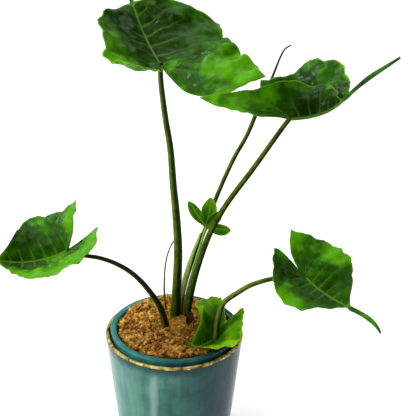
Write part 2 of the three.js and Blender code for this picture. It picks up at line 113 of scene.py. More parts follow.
# name: place, what it looks at, width and height, power in watts
lights = {
    "keyLeft": ((-1.5, -0.6, 1.5), (0, 0, 0.25), (0.6, 0.6), 38),
    "softAbove": ((0.35, 1.0, 2.5), (0.35, 0.9, 0), (2.8, 2.6), 64),
    "glossBack": ((-1.1, 1.2, 1.25), (0.05, 0, 0.45), (0.5, 0.14), 9),
    "stripLeft": ((-0.75, -1.3, 0.45), (0, 0, 0.1), (0.05, 1.1), 4),
    "edgeRight": ((1.3, -0.1, 0.5), (0, 0, 0.15), (0.12, 1.2), 5),
}
for lightName, (place, target, size, power) in lights.items():
    bpy.ops.object.light_add(type="AREA", location=place)
    light = bpy.context.active_object
    light.name = lightName
    light.rotation_euler = (Vector(target) - Vector(place)).to_track_quat("-Z", "Y").to_euler()
    light.data.shape = "RECTANGLE"
    light.data.size, light.data.size_y = size
    light.data.energy = power

world = bpy.data.worlds.new("studio")
bpy.context.scene.world = world
world.use_nodes = True
world.node_tree.nodes["Background"].inputs["Color"].default_value = (1, 1, 1, 1)
world.node_tree.nodes["Background"].inputs["Strength"].default_value = studio["glow"]

# painted white studio floor
floorPaint, tree = startMaterial("whiteFloorPaint")
floorSurface = addNode(tree, "ShaderNodeBsdfPrincipled", {
    "Base Color": linearColor(studio["floorPaint"]), "Roughness": 0.9, "Specular IOR Level": 0.1,
})
addNode(tree, "ShaderNodeOutputMaterial", {"Surface": floorSurface.outputs[0]})
deselectAll()
bpy.ops.mesh.primitive_plane_add(size=studio["floorSize"], location=(0, 0, studio["floorLevel"]))
floor = bpy.context.active_object
floor.name = "floor"
floor.data.materials.append(floorPaint)
print("stage: view, light and floor")


# Helpers that turn lists of points into smooth curves and meshes.

def curveThrough(points, perSpan=12):
    # a smooth line through all the points
    pts = np.array(points, float)
    pts = np.vstack([2 * pts[0] - pts[1], pts, 2 * pts[-1] - pts[-2]])
    line = []
    for i in range(1, len(pts) - 2):
        p = pts[i - 1:i + 3]
        t = np.concatenate([[0], np.cumsum(np.linalg.norm(np.diff(p, axis=0), axis=1) ** 0.5)])
        for s in np.linspace(t[1], t[2], perSpan, endpoint=False):
            a = [(p[k] * (t[k + 1] - s) + p[k + 1] * (s - t[k])) / (t[k + 1] - t[k]) for k in range(3)]
            b = [(a[k] * (t[k + 2] - s) + a[k + 1] * (s - t[k])) / (t[k + 2] - t[k]) for k in range(2)]
            line.append((b[0] * (t[2] - s) + b[1] * (s - t[1])) / (t[2] - t[1]))
    line.append(pts[-2])
    return np.array(line)


def spaced(line, shares):
    # points at the given shares of the line's length
    along = np.concatenate([[0], np.cumsum(np.linalg.norm(np.diff(line, axis=0), axis=1))])
    at = shares * along[-1]
    return np.stack([np.interp(at, along, line[:, k]) for k in range(line.shape[1])], axis=1)


def ease(x, low, high):
    t = np.clip((x - low) / (high - low), 0, 1)
    return t * t * (3 - 2 * t)


def meshPiece(name, points, faces, uvs=None, tone=None):
    # a mesh object from points in metres; uvs maps a layer's name to a pair for each point
    mesh = bpy.data.meshes.new(name)
    mesh.from_pydata([tuple(p) for p in points], [], [tuple(int(i) for i in f) for f in faces])
    corners = np.zeros(len(mesh.loops), np.int32)
    mesh.loops.foreach_get("vertex_index", corners)
    for layer, pairs in (uvs or {}).items():
        mesh.uv_layers.new(name=layer).data.foreach_set("uv", np.array(pairs, np.float32)[corners].ravel())
    if tone is not None:
        mesh.attributes.new("tone", "FLOAT", "POINT").data.foreach_set("value", np.array(tone, np.float32))
    piece = bpy.data.objects.new(name, mesh)
    bpy.context.scene.collection.objects.link(piece)
    for face in mesh.polygons:
        face.use_smooth = True
    return piece


def gridFaces(rows, columns, closed=False):
    # quads between rows of points; closed joins the last column to the first
    faces = []
    for i in range(rows - 1):
        for k in range(columns if closed else columns - 1):
            n = (k + 1) % columns
            faces.append((i * columns + k, i * columns + n, (i + 1) * columns + n, (i + 1) * columns + k))
    return faces


def cleanMesh(piece):
    # merges points that fell together and turns the faces outwards
    pickOnly(piece)
    bpy.ops.object.mode_set(mode="EDIT")
    bpy.ops.mesh.select_all(action="SELECT")
    bpy.ops.mesh.remove_doubles(threshold=0.00002)
    bpy.ops.mesh.normals_make_consistent(inside=False)
    bpy.ops.object.mode_set(mode="OBJECT")


def applyModifiers(piece):
    pickOnly(piece)
    for modifier in list(piece.modifiers):
        bpy.ops.object.modifier_apply(modifier=modifier.name)


# The two pots are turned from profiles.

pot = {
    "height": 145, "rim": 75, "foot": 50, "taper": 13.5, "footRise": 16, "wall": 4.5, "floor": 7,
    "clearance": 1.5, "collar": 5.5, "innerWall": 6.5, "innerFloor": 6, "drain": 8, "sides": 160,
    "rimBeads": 0.0032,
}
plantLevel = 140  # heights of the plant are measured from here


def wallRadius(z):
    wallFoot = pot["rim"] - pot["taper"]
    return wallFoot + pot["taper"] * (z - pot["footRise"]) / (pot["height"] - pot["footRise"])


def bend(start, corner, end, steps=8):
    # points of a rounded corner, without its start
    shares = [k / steps for k in range(1, steps + 1)]
    return [tuple((1 - t) ** 2 * a + 2 * t * (1 - t) * b + t * t * c for a, b, c in zip(start, corner, end))
            for t in shares]


def thrownShell(rings, openMiddle=False):
    # a circle drawn out ring by ring, as clay is on a wheel; rings are (radius, height)
    deselectAll()
    radius, height = rings[0]
    bpy.ops.mesh.primitive_circle_add(
        vertices=pot["sides"], radius=radius * mm, location=(0, 0, height * mm))
    piece = bpy.context.active_object
    bpy.ops.object.transform_apply(location=True, rotation=True, scale=True)
    bpy.ops.object.mode_set(mode="EDIT")
    bpy.ops.mesh.select_mode(type="EDGE")
    bpy.ops.mesh.select_all(action="SELECT")
    for nextRadius, nextHeight in rings[1:]:
        rise = (nextHeight - height) * mm
        bpy.ops.mesh.extrude_region_move(TRANSFORM_OT_translate={"value": (0, 0, rise)})
        growth = nextRadius / radius
        bpy.ops.transform.resize(value=(growth, growth, 1), center_override=(0, 0, nextHeight * mm))
        radius, height = nextRadius, nextHeight
    bpy.ops.mesh.select_all(action="SELECT")
    if openMiddle:
        bpy.ops.mesh.remove_doubles(threshold=0.00001)
    else:
        bpy.ops.mesh.fill_holes(sides=0)
    bpy.ops.mesh.select_all(action="SELECT")
    bpy.ops.mesh.normals_make_consistent(inside=False)
    bpy.ops.object.mode_set(mode="OBJECT")
    bpy.ops.object.shade_smooth_by_angle(angle=math.radians(50))
    return piece


def evenly(start, end, steps):
    return [tuple(a + (b - a) * k / steps for a, b in zip(start, end)) for k in range(1, steps + 1)]


# outer pot: from the middle of the foot, up the wall, over the rim and down inside
foot, wallFoot = pot["foot"], pot["rim"] - pot["taper"]
top = pot["height"]
inside = pot["rim"] - pot["wall"]
corner = pot["floor"] + 12
outerRings = [(4, 0)] + evenly((4, 0), (foot, 0), 6)
outerRings += bend((foot, 0), (wallFoot - 1.5, 0), (wallFoot, pot["footRise"]), 10)
outerRings += evenly((wallFoot, pot["footRise"]), (pot["rim"] - 0.3, top - 5), 26)
outerRings += bend((pot["rim"] - 0.3, top - 5), (pot["rim"] - 0.2, top - 3.4), (pot["rim"], top - 2.4), 3)
outerRings += bend((pot["rim"], top - 2.4), (pot["rim"], top), (pot["rim"] - 2.2, top), 6)
outerRings += bend((pot["rim"] - 2.2, top), (inside, top), (inside, top - 2.2), 6)
outerRings += evenly((inside, top - 2.2), (wallRadius(corner) - pot["wall"], corner), 10)
outerRings += bend((wallRadius(corner) - pot["wall"], corner), (wallRadius(corner) - 5.5, pot["floor"]),
                   (wallRadius(corner) - 16.5, pot["floor"]), 6)
outerRings += evenly((wallRadius(corner) - 16.5, pot["floor"]), (4, pot["floor"]), 4)
outerPot = thrownShell(outerRings)
for vertex in outerPot.data.vertices:  # the gilded rim is hand-dipped and a little uneven
    x, y, z = vertex.co
    if z > (top - 4.5) * mm:
        beads = noise.noise(Vector((x, y, 0)) * 260) + 0.6 * noise.noise(Vector((x, y, 0)) * 620)
        vertex.co.x *= 1 + pot["rimBeads"] * beads
        vertex.co.y *= 1 + pot["rimBeads"] * beads

# inner pot: a liner with a drain hole and a rolled lip that stands proud of the outer rim
lipTop = pot["height"] + pot["collar"]
innerBottom = pot["floor"] + 0.3
innerCorner = innerBottom + 14
innerFloor = innerBottom + pot["innerFloor"]
drain = pot["drain"]


def innerOut(z):
    return wallRadius(z) - pot["wall"] - pot["clearance"]


def innerIn(z):
    return innerOut(z) - pot["innerWall"]


innerRings = [(drain, innerBottom)]
innerRings += evenly((drain, innerBottom), (innerOut(innerCorner) - 14, innerBottom), 4)
innerRings += bend((innerOut(innerCorner) - 14, innerBottom), (innerOut(innerCorner) - 2, innerBottom),
                   (innerOut(innerCorner), innerCorner), 8)
innerRings += evenly((innerOut(innerCorner), innerCorner), (innerOut(lipTop - 7), lipTop - 7), 16)
innerRings += bend((innerOut(lipTop - 7), lipTop - 7), (innerOut(lipTop - 4) - 0.5, lipTop - 5),
                   (innerOut(lipTop - 2), lipTop - 2.2), 4)
innerRings += bend((innerOut(lipTop - 2), lipTop - 2.2), (innerOut(lipTop), lipTop),
                   (innerOut(lipTop) - 2, lipTop), 5)
innerRings += bend((innerOut(lipTop) - 2, lipTop), (innerIn(lipTop), lipTop),
                   (innerIn(lipTop), lipTop - 2.2), 5)
innerRings += evenly((innerIn(lipTop), lipTop - 2.2), (innerIn(innerCorner), innerCorner), 14)
innerRings += bend((innerIn(innerCorner), innerCorner), (innerIn(innerCorner) - 2, innerFloor),
                   (innerIn(innerCorner) - 14, innerFloor), 6)
innerRings += evenly((innerIn(innerCorner) - 14, innerFloor), (drain, innerFloor), 3)
innerRings += evenly((drain, innerFloor), (drain, innerBottom), 2)
innerPot = thrownShell(innerRings, openMiddle=True)

# reactive blue-green glaze on thrown stoneware: glassy, pooled darker under the rim, streaked
# where it ran, with fine crazing; the rim is brushed with gold lustre and the foot is bare clay
glaze = {
    # of the colours below, thin is painted highlight for the streak down the front and blue is painted
    # shade towards +X
    "pale": "#5F9184", "mid": "#306158", "deep": "#1C4144", "blue": "#0E2430", "thin": "#B4C6C0",
    "bare": "#8E6A4C", "iron": "#23393A", "pooled": "#1B3538",
    "gold": "#94803A", "goldDark": "#3C280C", "goldPale": "#E4CE84", "goldBand": 1.9, "crazeSpacing": 3.2,
    # patterns to the metre: a run every 12 mm, clouds of 30 mm, specks every 2.4 mm, wear of 7 mm
    "runs": 85, "clouds": 33, "specks": 420, "wear": 150,
    # where the painted highlight streak runs across the front, and half its width, in metres
    "paintedGlossStreakAt": 0.0165, "paintedGlossStreakHalf": 0.006,
}
innerColors = {"pale": "#3E8A86", "mid": "#1E5C58", "deep": "#0C3234"}


def potGlaze(name, colors, gilded):
    material, tree = startMaterial(name)
    coords = addNode(tree, "ShaderNodeTexCoord").outputs["Object"]
    place = addNode(tree, "ShaderNodeSeparateXYZ", {0: coords}).outputs
    stretched = addNode(tree, "ShaderNodeMapping", {"Vector": coords, "Scale": (1, 1, 0.12)}).outputs[0]
    runs = addNode(tree, "ShaderNodeTexNoise", {
        "Vector": stretched, "Scale": glaze["runs"], "Detail": 3, "Roughness": 0.55}).outputs["Fac"]
    clouds = addNode(tree, "ShaderNodeTexNoise", {
        "Vector": coords, "Scale": glaze["clouds"], "Detail": 4, "Roughness": 0.6}).outputs["Fac"]
    both = addNode(tree, "ShaderNodeMath", {0: runs, 1: clouds}, operation="ADD").outputs[0]
    spread = addNode(tree, "ShaderNodeMapRange", {
        "Value": both, "From Min": 0.45, "From Max": 1.55}).outputs[0]
    ground = addNode(tree, "ShaderNodeValToRGB", {"Fac": spread}, stops=[
        (0.0, colors["deep"]), (1.0, colors["pale"]), (0.42, colors["mid"])]).outputs[0]
    # painted shade and painted light: bluer and darker towards +X, paler towards -X; colour that stands in
    # for light from the left, so it stays where it is when the lights move
    weighting = addNode(tree, "ShaderNodeMapRange", {
        "Value": place["X"], "From Min": -0.03, "From Max": 0.06, "To Max": 0.85},
        interpolation_type="SMOOTHSTEP").outputs[0]
    ground = addNode(tree, "ShaderNodeMix", {
        0: weighting, 6: ground, 7: linearColor(glaze["blue"])}, data_type="RGBA").outputs[2]
    # painted light: paler towards -X
    paintedLightLeft = addNode(tree, "ShaderNodeMapRange", {
        "Value": place["X"], "From Min": -0.015, "From Max": -0.06, "To Max": 0.4},
        interpolation_type="SMOOTHSTEP").outputs[0]
    ground = addNode(tree, "ShaderNodeMix", {
        0: paintedLightLeft, 6: ground, 7: linearColor(colors["pale"])}, data_type="RGBA").outputs[2]
    # specks of iron, each about half a millimetre
    speckCells = addNode(tree, "ShaderNodeTexVoronoi", {
        "Vector": coords, "Scale": glaze["specks"]}).outputs["Distance"]
    specks = addNode(tree, "ShaderNodeMapRange", {
        "Value": speckCells, "From Min": 0.2, "From Max": 0.06, "To Max": 0.3}).outputs[0]
    ground = addNode(tree, "ShaderNodeMix", {
        0: specks, 6: ground, 7: linearColor(glaze["iron"])}, data_type="RGBA").outputs[2]
    # crazing: a net of hairlines
    craze = addNode(tree, "ShaderNodeTexVoronoi", {
        "Vector": coords, "Scale": 1000 / glaze["crazeSpacing"]},
        feature="DISTANCE_TO_EDGE").outputs["Distance"]
    hairline = addNode(tree, "ShaderNodeMapRange", {
        "Value": craze, "From Min": 0.05, "From Max": 0.0, "To Max": 0.1}).outputs[0]
    ground = addNode(tree, "ShaderNodeMix", {
        0: hairline, 6: ground, 7: linearColor(colors["deep"])}, data_type="RGBA").outputs[2]
    rough = addNode(tree, "ShaderNodeMapRange", {
        "Value": clouds, "From Min": 0.3, "From Max": 0.7, "To Min": 0.16, "To Max": 0.28}).outputs[0]
    metal = 0.0
    relief = runs
    if gilded:
        # glaze pools in a dark, dripping line under the rim
        drips = addNode(tree, "ShaderNodeMath", {
            0: runs, 1: 0.016, 2: place["Z"]}, operation="MULTIPLY_ADD").outputs[0]
        underRim = addNode(tree, "ShaderNodeMapRange", {
            "Value": drips, "From Min": (top - 7) * mm, "From Max": (top + 5) * mm, "To Max": 0.9},
            interpolation_type="SMOOTHSTEP").outputs[0]
        ground = addNode(tree, "ShaderNodeMix", {
            0: underRim, 6: ground, 7: linearColor(glaze["pooled"])}, data_type="RGBA").outputs[2]
        # painted highlight: a pale streak about 12 mm wide, down the front to the left, colour that stands
        # in for a soft window's gloss, so it doesn't move with the lights as real gloss would
        fromGlossStreak = addNode(tree, "ShaderNodeMath", {
            0: place["X"], 1: glaze["paintedGlossStreakAt"]}, operation="ADD").outputs[0]
        fromGlossStreak = addNode(tree, "ShaderNodeMath", {
            0: runs, 1: 0.009, 2: fromGlossStreak}, operation="MULTIPLY_ADD").outputs[0]
        fromGlossStreak = addNode(tree, "ShaderNodeMath", {0: fromGlossStreak}, operation="ABSOLUTE").outputs[0]
        paintedGlossStreak = addNode(tree, "ShaderNodeMapRange", {
            "Value": fromGlossStreak, "From Min": glaze["paintedGlossStreakHalf"], "From Max": 0.0, "To Max": 0.3},
            interpolation_type="SMOOTHSTEP").outputs[0]
        front = addNode(tree, "ShaderNodeMapRange", {
            "Value": place["Y"], "From Min": 0.0, "From Max": -0.03}).outputs[0]
        below = addNode(tree, "ShaderNodeMapRange", {
            "Value": place["Z"], "From Min": (top - 8) * mm, "From Max": (top - 16) * mm},
            interpolation_type="SMOOTHSTEP").outputs[0]
        above = addNode(tree, "ShaderNodeMapRange", {
            "Value": place["Z"], "From Min": 0.01, "From Max": 0.06}).outputs[0]
        for fade in (front, below, above):
            paintedGlossStreak = addNode(tree, "ShaderNodeMath", {
                0: paintedGlossStreak, 1: fade}, operation="MULTIPLY").outputs[0]
        ground = addNode(tree, "ShaderNodeMix", {
            0: paintedGlossStreak, 6: ground, 7: linearColor(glaze["thin"])}, data_type="RGBA").outputs[2]
        # brushed gold with worn brown breaks, a few millimetres long
        worn = addNode(tree, "ShaderNodeTexNoise", {
            "Vector": coords, "Scale": glaze["wear"], "Detail": 5, "Roughness": 0.7}).outputs["Fac"]
        goldColor = addNode(tree, "ShaderNodeValToRGB", {"Fac": worn}, stops=[
            (0.36, glaze["goldDark"]), (0.7, glaze["goldPale"]), (0.5, glaze["gold"])]).outputs[0]
        wavy = addNode(tree, "ShaderNodeMath", {0: worn, 1: 0.0022}, operation="MULTIPLY").outputs[0]
        level = addNode(tree, "ShaderNodeMath", {0: place["Z"], 1: wavy}, operation="ADD").outputs[0]
        onRim = addNode(tree, "ShaderNodeMapRange", {
            "Value": level, "From Min": (top - glaze["goldBand"] + 0.9) * mm,
            "From Max": (top - glaze["goldBand"] + 1.3) * mm}).outputs[0]
        ground = addNode(tree, "ShaderNodeMix", {
            0: onRim, 6: ground, 7: goldColor}, data_type="RGBA").outputs[2]
        metal = addNode(tree, "ShaderNodeMath", {0: onRim, 1: 0.65}, operation="MULTIPLY").outputs[0]
        rimRough = addNode(tree, "ShaderNodeMath", {0: onRim, 1: 0.2}, operation="MULTIPLY").outputs[0]
        rough = addNode(tree, "ShaderNodeMath", {0: rough, 1: rimRough}, operation="ADD").outputs[0]
        relief = addNode(tree, "ShaderNodeMix", {0: onRim, 2: runs, 3: worn}).outputs[0]
    # bare clay where it stands, behind a wavy edge of the glaze
    edgeWave = addNode(tree, "ShaderNodeMath", {0: clouds, 1: 0.004}, operation="MULTIPLY").outputs[0]
    standLevel = addNode(tree, "ShaderNodeMath", {
        0: place["Z"], 1: edgeWave}, operation="SUBTRACT").outputs[0]
    bottom = 0.0 if gilded else innerBottom * mm
    onFoot = addNode(tree, "ShaderNodeMapRange", {
        "Value": standLevel, "From Min": bottom + 0.0006, "From Max": bottom - 0.0002}).outputs[0]
    ground = addNode(tree, "ShaderNodeMix", {
        0: onFoot, 6: ground, 7: linearColor(glaze["bare"])}, data_type="RGBA").outputs[2]
    footRough = addNode(tree, "ShaderNodeMath", {0: onFoot, 1: 0.7}, operation="MULTIPLY").outputs[0]
    rough = addNode(tree, "ShaderNodeMath", {0: rough, 1: footRough}, operation="MAXIMUM").outputs[0]
    bump = addNode(tree, "ShaderNodeBump", {
        "Height": relief, "Strength": 0.12, "Distance": 0.0008}).outputs[0]
    surface = addNode(tree, "ShaderNodeBsdfPrincipled", {
        "Base Color": ground, "Roughness": rough, "Metallic": metal, "Normal": bump,
        "Specular IOR Level": 0.12, "Coat Weight": 0.03, "Coat Roughness": 0.08})
    addNode(tree, "ShaderNodeOutputMaterial", {"Surface": surface.outputs[0]})
    return material


outerGlaze = potGlaze("reactiveGlazeOuter", glaze, True)
innerGlaze = potGlaze("reactiveGlazeInner", innerColors, False)
finishPiece(outerPot, "outerPotGlazed", ["outer_pot"], "glazed_ceramic_outer", outerGlaze)
finishPiece(innerPot, "innerPotGlazed", ["inner_pot"], "glazed_ceramic_inner", innerGlaze)
print("stage: pots")


# Soil fills the inner pot, moss lies over it, and two corky crowns stand in it.

# damp peat: nearly black, crumbly and matt
soilPeat, tree = startMaterial("dampPeat")
coords = addNode(tree, "ShaderNodeTexCoord").outputs["Object"]
crumbs = addNode(tree, "ShaderNodeTexNoise", {
    "Vector": coords, "Scale": 450, "Detail": 6, "Roughness": 0.75}).outputs["Fac"]
peatColor = addNode(tree, "ShaderNodeValToRGB", {"Fac": crumbs}, stops=[
    (0.35, "#0B0704"), (0.7, "#3A2716"), (0.55, "#1C120A")]).outputs[0]
bump = addNode(tree, "ShaderNodeBump", {"Height": crumbs, "Strength": 0.9, "Distance": 0.0015}).outputs[0]
surface = addNode(tree, "ShaderNodeBsdfPrincipled", {
    "Base Color": peatColor, "Roughness": 0.92, "Normal": bump})
addNode(tree, "ShaderNodeOutputMaterial", {"Surface": surface.outputs[0]})
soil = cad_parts["potting_soil"]
soil.data.materials.clear()
soil.data.materials.append(soilPeat)

moss = {
    "radius": 60.2, "backRadius": 62.2, "bottom": 132.3, "level": 146.2, "tilt": 5.6, "crown": -1.2,
    "lump": 2.2, "tufts": 1900, "tuftSize": (1.6, 4.6), "strands": 3600, "strandLength": (3, 10),
    "shapes": 6, "bedding": 1.8, "rows": 34, "around": 120, "lipRows": 4, "seed": 11,
}


def mossEdge(angle):
    # the mound's radius: close to the pot at the back, with a ragged gap in front
    back = max(0.0, math.sin(angle)) ** 0.6
    ragged = 1.6 * noise.noise(Vector((math.cos(angle) * 4, math.sin(angle) * 4, 1)))
    gap = 0.9 + 6.5 * max(0.0, -math.sin(angle)) ** 6
    return moss["radius"] + (moss["backRadius"] - moss["radius"]) * back - gap + ragged * (1 - 0.6 * back)


def mossHeight(x, y):
    # the height of the mound in mm, lumpy as packed moss is
    r = math.hypot(x, y) / moss["radius"]
    rise = moss["crown"] * (1 - min(r, 1) ** 2) + moss["tilt"] * y / moss["radius"] * (1 if y > 0 else 0.25)
    drop = 4 * max(0.0, (r - 0.93) / 0.07) ** 2 * (0.3 if y > 0 else 1)
    lumps = noise.noise(Vector((x, y, 3)) * 0.11) + 0.6 * noise.noise(Vector((x, y, 7)) * 0.27)
    return moss["level"] + rise - drop + moss["lump"] * lumps


rows, columns = moss["rows"], moss["around"]
level = rows - moss["lipRows"]  # the rows after this one turn down to the underside
points = [(0, 0, mossHeight(0, 0) * mm)] * columns
for i in range(1, rows):
    for k in range(columns):
        angle = 2 * math.pi * k / columns
        r = mossEdge(angle) * min(1, i / level)
        x, y = r * math.cos(angle), r * math.sin(angle)
        fall = max(0, i - level) / (moss["lipRows"] - 1)
        z = (mossHeight(x, y) - moss["bedding"]) * (1 - fall) + moss["bottom"] * fall
        points.append((x * mm, y * mm, z * mm))
points += [(0, 0, moss["bottom"] * mm)] * columns
mound = meshPiece("mossMound", points, gridFaces(rows + 1, columns, closed=True), tone=[0.0] * len(points))
cleanMesh(mound)

# tufts are crumpled balls of moss and strands are loose curled stems of it; a few shapes of each
# are modelled once and copied
rng = random.Random(moss["seed"])
tuftShapes = []
for shape in range(moss["shapes"]):
    deselectAll()
    bpy.ops.mesh.primitive_ico_sphere_add(subdivisions=2, radius=1)
    ball = bpy.context.active_object
    pts = np.array([v.co for v in ball.data.vertices])
    for n, p in enumerate(pts):
        spiky = noise.noise(Vector(p) * 1.9 + Vector((shape * 9, 0, 0)))
        fine = noise.noise(Vector(p) * 4.3 + Vector((0, shape * 7, 0)))
        pts[n] = p * max(0.15, 1 + 1.1 * spiky + 1.0 * fine)
    tuftShapes.append((pts * [1, 0.7, 0.5], [tuple(f.vertices) for f in ball.data.polygons]))
    bpy.data.objects.remove(ball)
strandShapes = []
for _ in range(moss["shapes"]):
    swayFirst, swayStart, lift, winding = (rng.uniform(-0.9, 0.9) for _ in range(4))
    pts, faces = [], []
    for i in range(6):
        u = i / 5
        middle = np.array([
            u - 0.5, 0.16 * math.sin(swayFirst * 4 * u + swayStart * 3), 0.2 * math.sin(lift * 5 * u)])
        width = 0.06 * (1 - 0.75 * abs(2 * u - 0.9)) + 0.016
        for k in range(3):
            turn = 2 * math.pi * k / 3 + winding * u * 4
            pts.append(middle + [0, width * math.cos(turn), width * math.sin(turn)])
        if i:
            for k in range(3):
                a, b = (i - 1) * 3 + k, (i - 1) * 3 + (k + 1) % 3
                faces.append((a, b, b + 3, a + 3))
    faces += [(2, 1, 0), (15, 16, 17)]
    strandShapes.append((np.array(pts), faces))


def turnMatrix(heading, tilt, spin):
    ch, sh, ct, st, cs, ss = (f(a) for a in (heading, tilt, spin) for f in (math.cos, math.sin))
    flat = np.array([[ch, -sh, 0], [sh, ch, 0], [0, 0, 1]])
    lean = np.array([[ct, 0, st], [0, 1, 0], [-st, 0, ct]])
    roll = np.array([[1, 0, 0], [0, cs, -ss], [0, ss, cs]])
    return flat @ lean @ roll


def scatter(name, shapes, count, sizeRange, sink, leanRange):
    # copies of the shapes over the mound, in one mesh with a tone for each copy
    allPoints, allFaces, tones, start = [], [], [], 0
    for _ in range(count):
        angle = rng.uniform(0, 2 * math.pi)
        r = mossEdge(angle) * math.sqrt(rng.uniform(0, 0.97))
        x, y = r * math.cos(angle), r * math.sin(angle)
        size = rng.uniform(*sizeRange)
        pts, faces = shapes[rng.randrange(len(shapes))]
        heading, lean, spin = rng.uniform(0, 6.3), rng.uniform(-leanRange, leanRange), rng.uniform(0, 6.3)
        turned = pts @ turnMatrix(heading, lean, spin).T
        bedded = mossHeight(x, y) + (sink + rng.uniform(-0.5, 0.25)) * size
        allPoints.append((turned * size + [x, y, bedded]) * mm)
        allFaces += [tuple(v + start for v in f) for f in faces]
        patch = 0.5 + 0.5 * noise.noise(Vector((x, y, 20)) * 0.06)
        base = 0.5 * rng.random() + 0.5 * patch - 0.05
        # the tone varies at random and in patches; each copy is also paler towards its top and darker low
        # down: painted light and shade
        tones += list(np.clip(base + 0.5 * turned[:, 2] - 0.16, 0, 1))
        start += len(pts)
    return meshPiece(name, np.concatenate(allPoints), allFaces, tone=tones)


mossTufts = scatter("mossTufts", tuftShapes, moss["tufts"], moss["tuftSize"], 0.1, 1.2)
mossStrands = scatter("mossStrands", strandShapes, moss["strands"], moss["strandLength"], 0.12, 0.55)

# dried sphagnum: golden-brown, matt and fibrous; each tuft and strand is paler towards its top and darker
# low down, which is painted light and shade
mossDry, tree = startMaterial("driedSphagnum")
coords = addNode(tree, "ShaderNodeTexCoord").outputs["Object"]
tone = addNode(tree, "ShaderNodeAttribute", attribute_name="tone").outputs["Fac"]
grain = addNode(tree, "ShaderNodeTexNoise", {
    "Vector": coords, "Scale": 700, "Detail": 5, "Roughness": 0.7}).outputs["Fac"]
patches = addNode(tree, "ShaderNodeTexNoise", {"Vector": coords, "Scale": 60, "Detail": 3}).outputs["Fac"]
mixed = addNode(tree, "ShaderNodeMath", {0: tone, 1: 0.6}, operation="MULTIPLY").outputs[0]
mixed = addNode(tree, "ShaderNodeMath", {0: grain, 1: 0.55, 2: mixed}, operation="MULTIPLY_ADD").outputs[0]
mossColor = addNode(tree, "ShaderNodeValToRGB", {"Fac": mixed}, stops=[
    (0.2, "#2A1404"), (0.9, "#E0B050"), (0.38, "#6E3E10"), (0.55, "#A06C20"), (0.72, "#C08E38")]).outputs[0]
rust = addNode(tree, "ShaderNodeMapRange", {
    "Value": patches, "From Min": 0.55, "From Max": 0.72, "To Max": 0.5}).outputs[0]
mossColor = addNode(tree, "ShaderNodeMix", {
    0: rust, 6: mossColor, 7: linearColor("#9A4E1C")}, data_type="RGBA").outputs[2]
yellow = addNode(tree, "ShaderNodeMapRange", {
    "Value": patches, "From Min": 0.42, "From Max": 0.3, "To Max": 0.5}).outputs[0]
mossColor = addNode(tree, "ShaderNodeMix", {
    0: yellow, 6: mossColor, 7: linearColor("#8E8418")}, data_type="RGBA").outputs[2]
bump = addNode(tree, "ShaderNodeBump", {"Height": grain, "Strength": 0.8, "Distance": 0.0008}).outputs[0]
surface = addNode(tree, "ShaderNodeBsdfPrincipled", {
    "Base Color": mossColor, "Roughness": 0.85, "Normal": bump, "Specular IOR Level": 0.25})
addNode(tree, "ShaderNodeOutputMaterial", {"Surface": surface.outputs[0]})
for piece in (mound, mossTufts, mossStrands):
    finishPiece(piece, piece.name, ["moss_mulch"], "moss", mossDry)

crowns = {
    "crownMain": {"node": "main_crown", "middle": (7, 3, 137), "half": (17, 23, 22), "rings": 9},
    "crownOffset": {"node": "offset_crown", "middle": (45.6, -30.8, 137), "half": (6, 6, 14), "rings": 6},
}
# corky stem skin: dull golden-brown, ringed with old leaf scars, with pale fibre ends and specks
crownCork, tree = startMaterial("corkyStemSkin")
coords = addNode(tree, "ShaderNodeTexCoord").outputs["Object"]
fibre = addNode(tree, "ShaderNodeTexNoise", {
    "Vector": coords, "Scale": 260, "Detail": 6, "Roughness": 0.7}).outputs["Fac"]
corkColor = addNode(tree, "ShaderNodeValToRGB", {"Fac": fibre}, stops=[
    (0.3, "#4C2C0E"), (0.75, "#D8A850"), (0.45, "#94641E"), (0.6, "#BE8834")]).outputs[0]
cells = addNode(tree, "ShaderNodeTexVoronoi", {"Vector": coords, "Scale": 190}).outputs["Distance"]
paleSpecks = addNode(tree, "ShaderNodeMapRange", {
    "Value": cells, "From Min": 0.2, "From Max": 0.09, "To Max": 0.85}).outputs[0]
corkColor = addNode(tree, "ShaderNodeMix", {
    0: paleSpecks, 6: corkColor, 7: linearColor("#E6D4B4")}, data_type="RGBA").outputs[2]
bump = addNode(tree, "ShaderNodeBump", {"Height": fibre, "Strength": 0.8, "Distance": 0.001}).outputs[0]
surface = addNode(tree, "ShaderNodeBsdfPrincipled", {
    "Base Color": corkColor, "Roughness": 0.85, "Normal": bump, "Specular IOR Level": 0.15})
addNode(tree, "ShaderNodeOutputMaterial", {"Surface": surface.outputs[0]})

for crownName, one in crowns.items():
    deselectAll()
    bpy.ops.mesh.primitive_uv_sphere_add(segments=72, ring_count=48, radius=1)
    knob = bpy.context.active_object
    for vertex in knob.data.vertices:
        p = vertex.co.copy()
        scars = 0.03 * abs(math.sin(one["rings"] * math.pi * (p.z + 0.12 * math.atan2(p.y, p.x))))
        rough = 0.05 * noise.noise(p * 4) + 0.03 * noise.noise(p * 11)
        grown = p * (0.94 + scars + rough)
        vertex.co = [(m + h * g) * mm for m, h, g in zip(one["middle"], one["half"], grown)]
    bpy.ops.object.shade_smooth()
    finishPiece(knob, crownName, [one["node"]], "crown", crownCork)
print("stage: soil, moss and crowns")


# Petioles, the rolled spear and the thin shoot are tapering round stems.

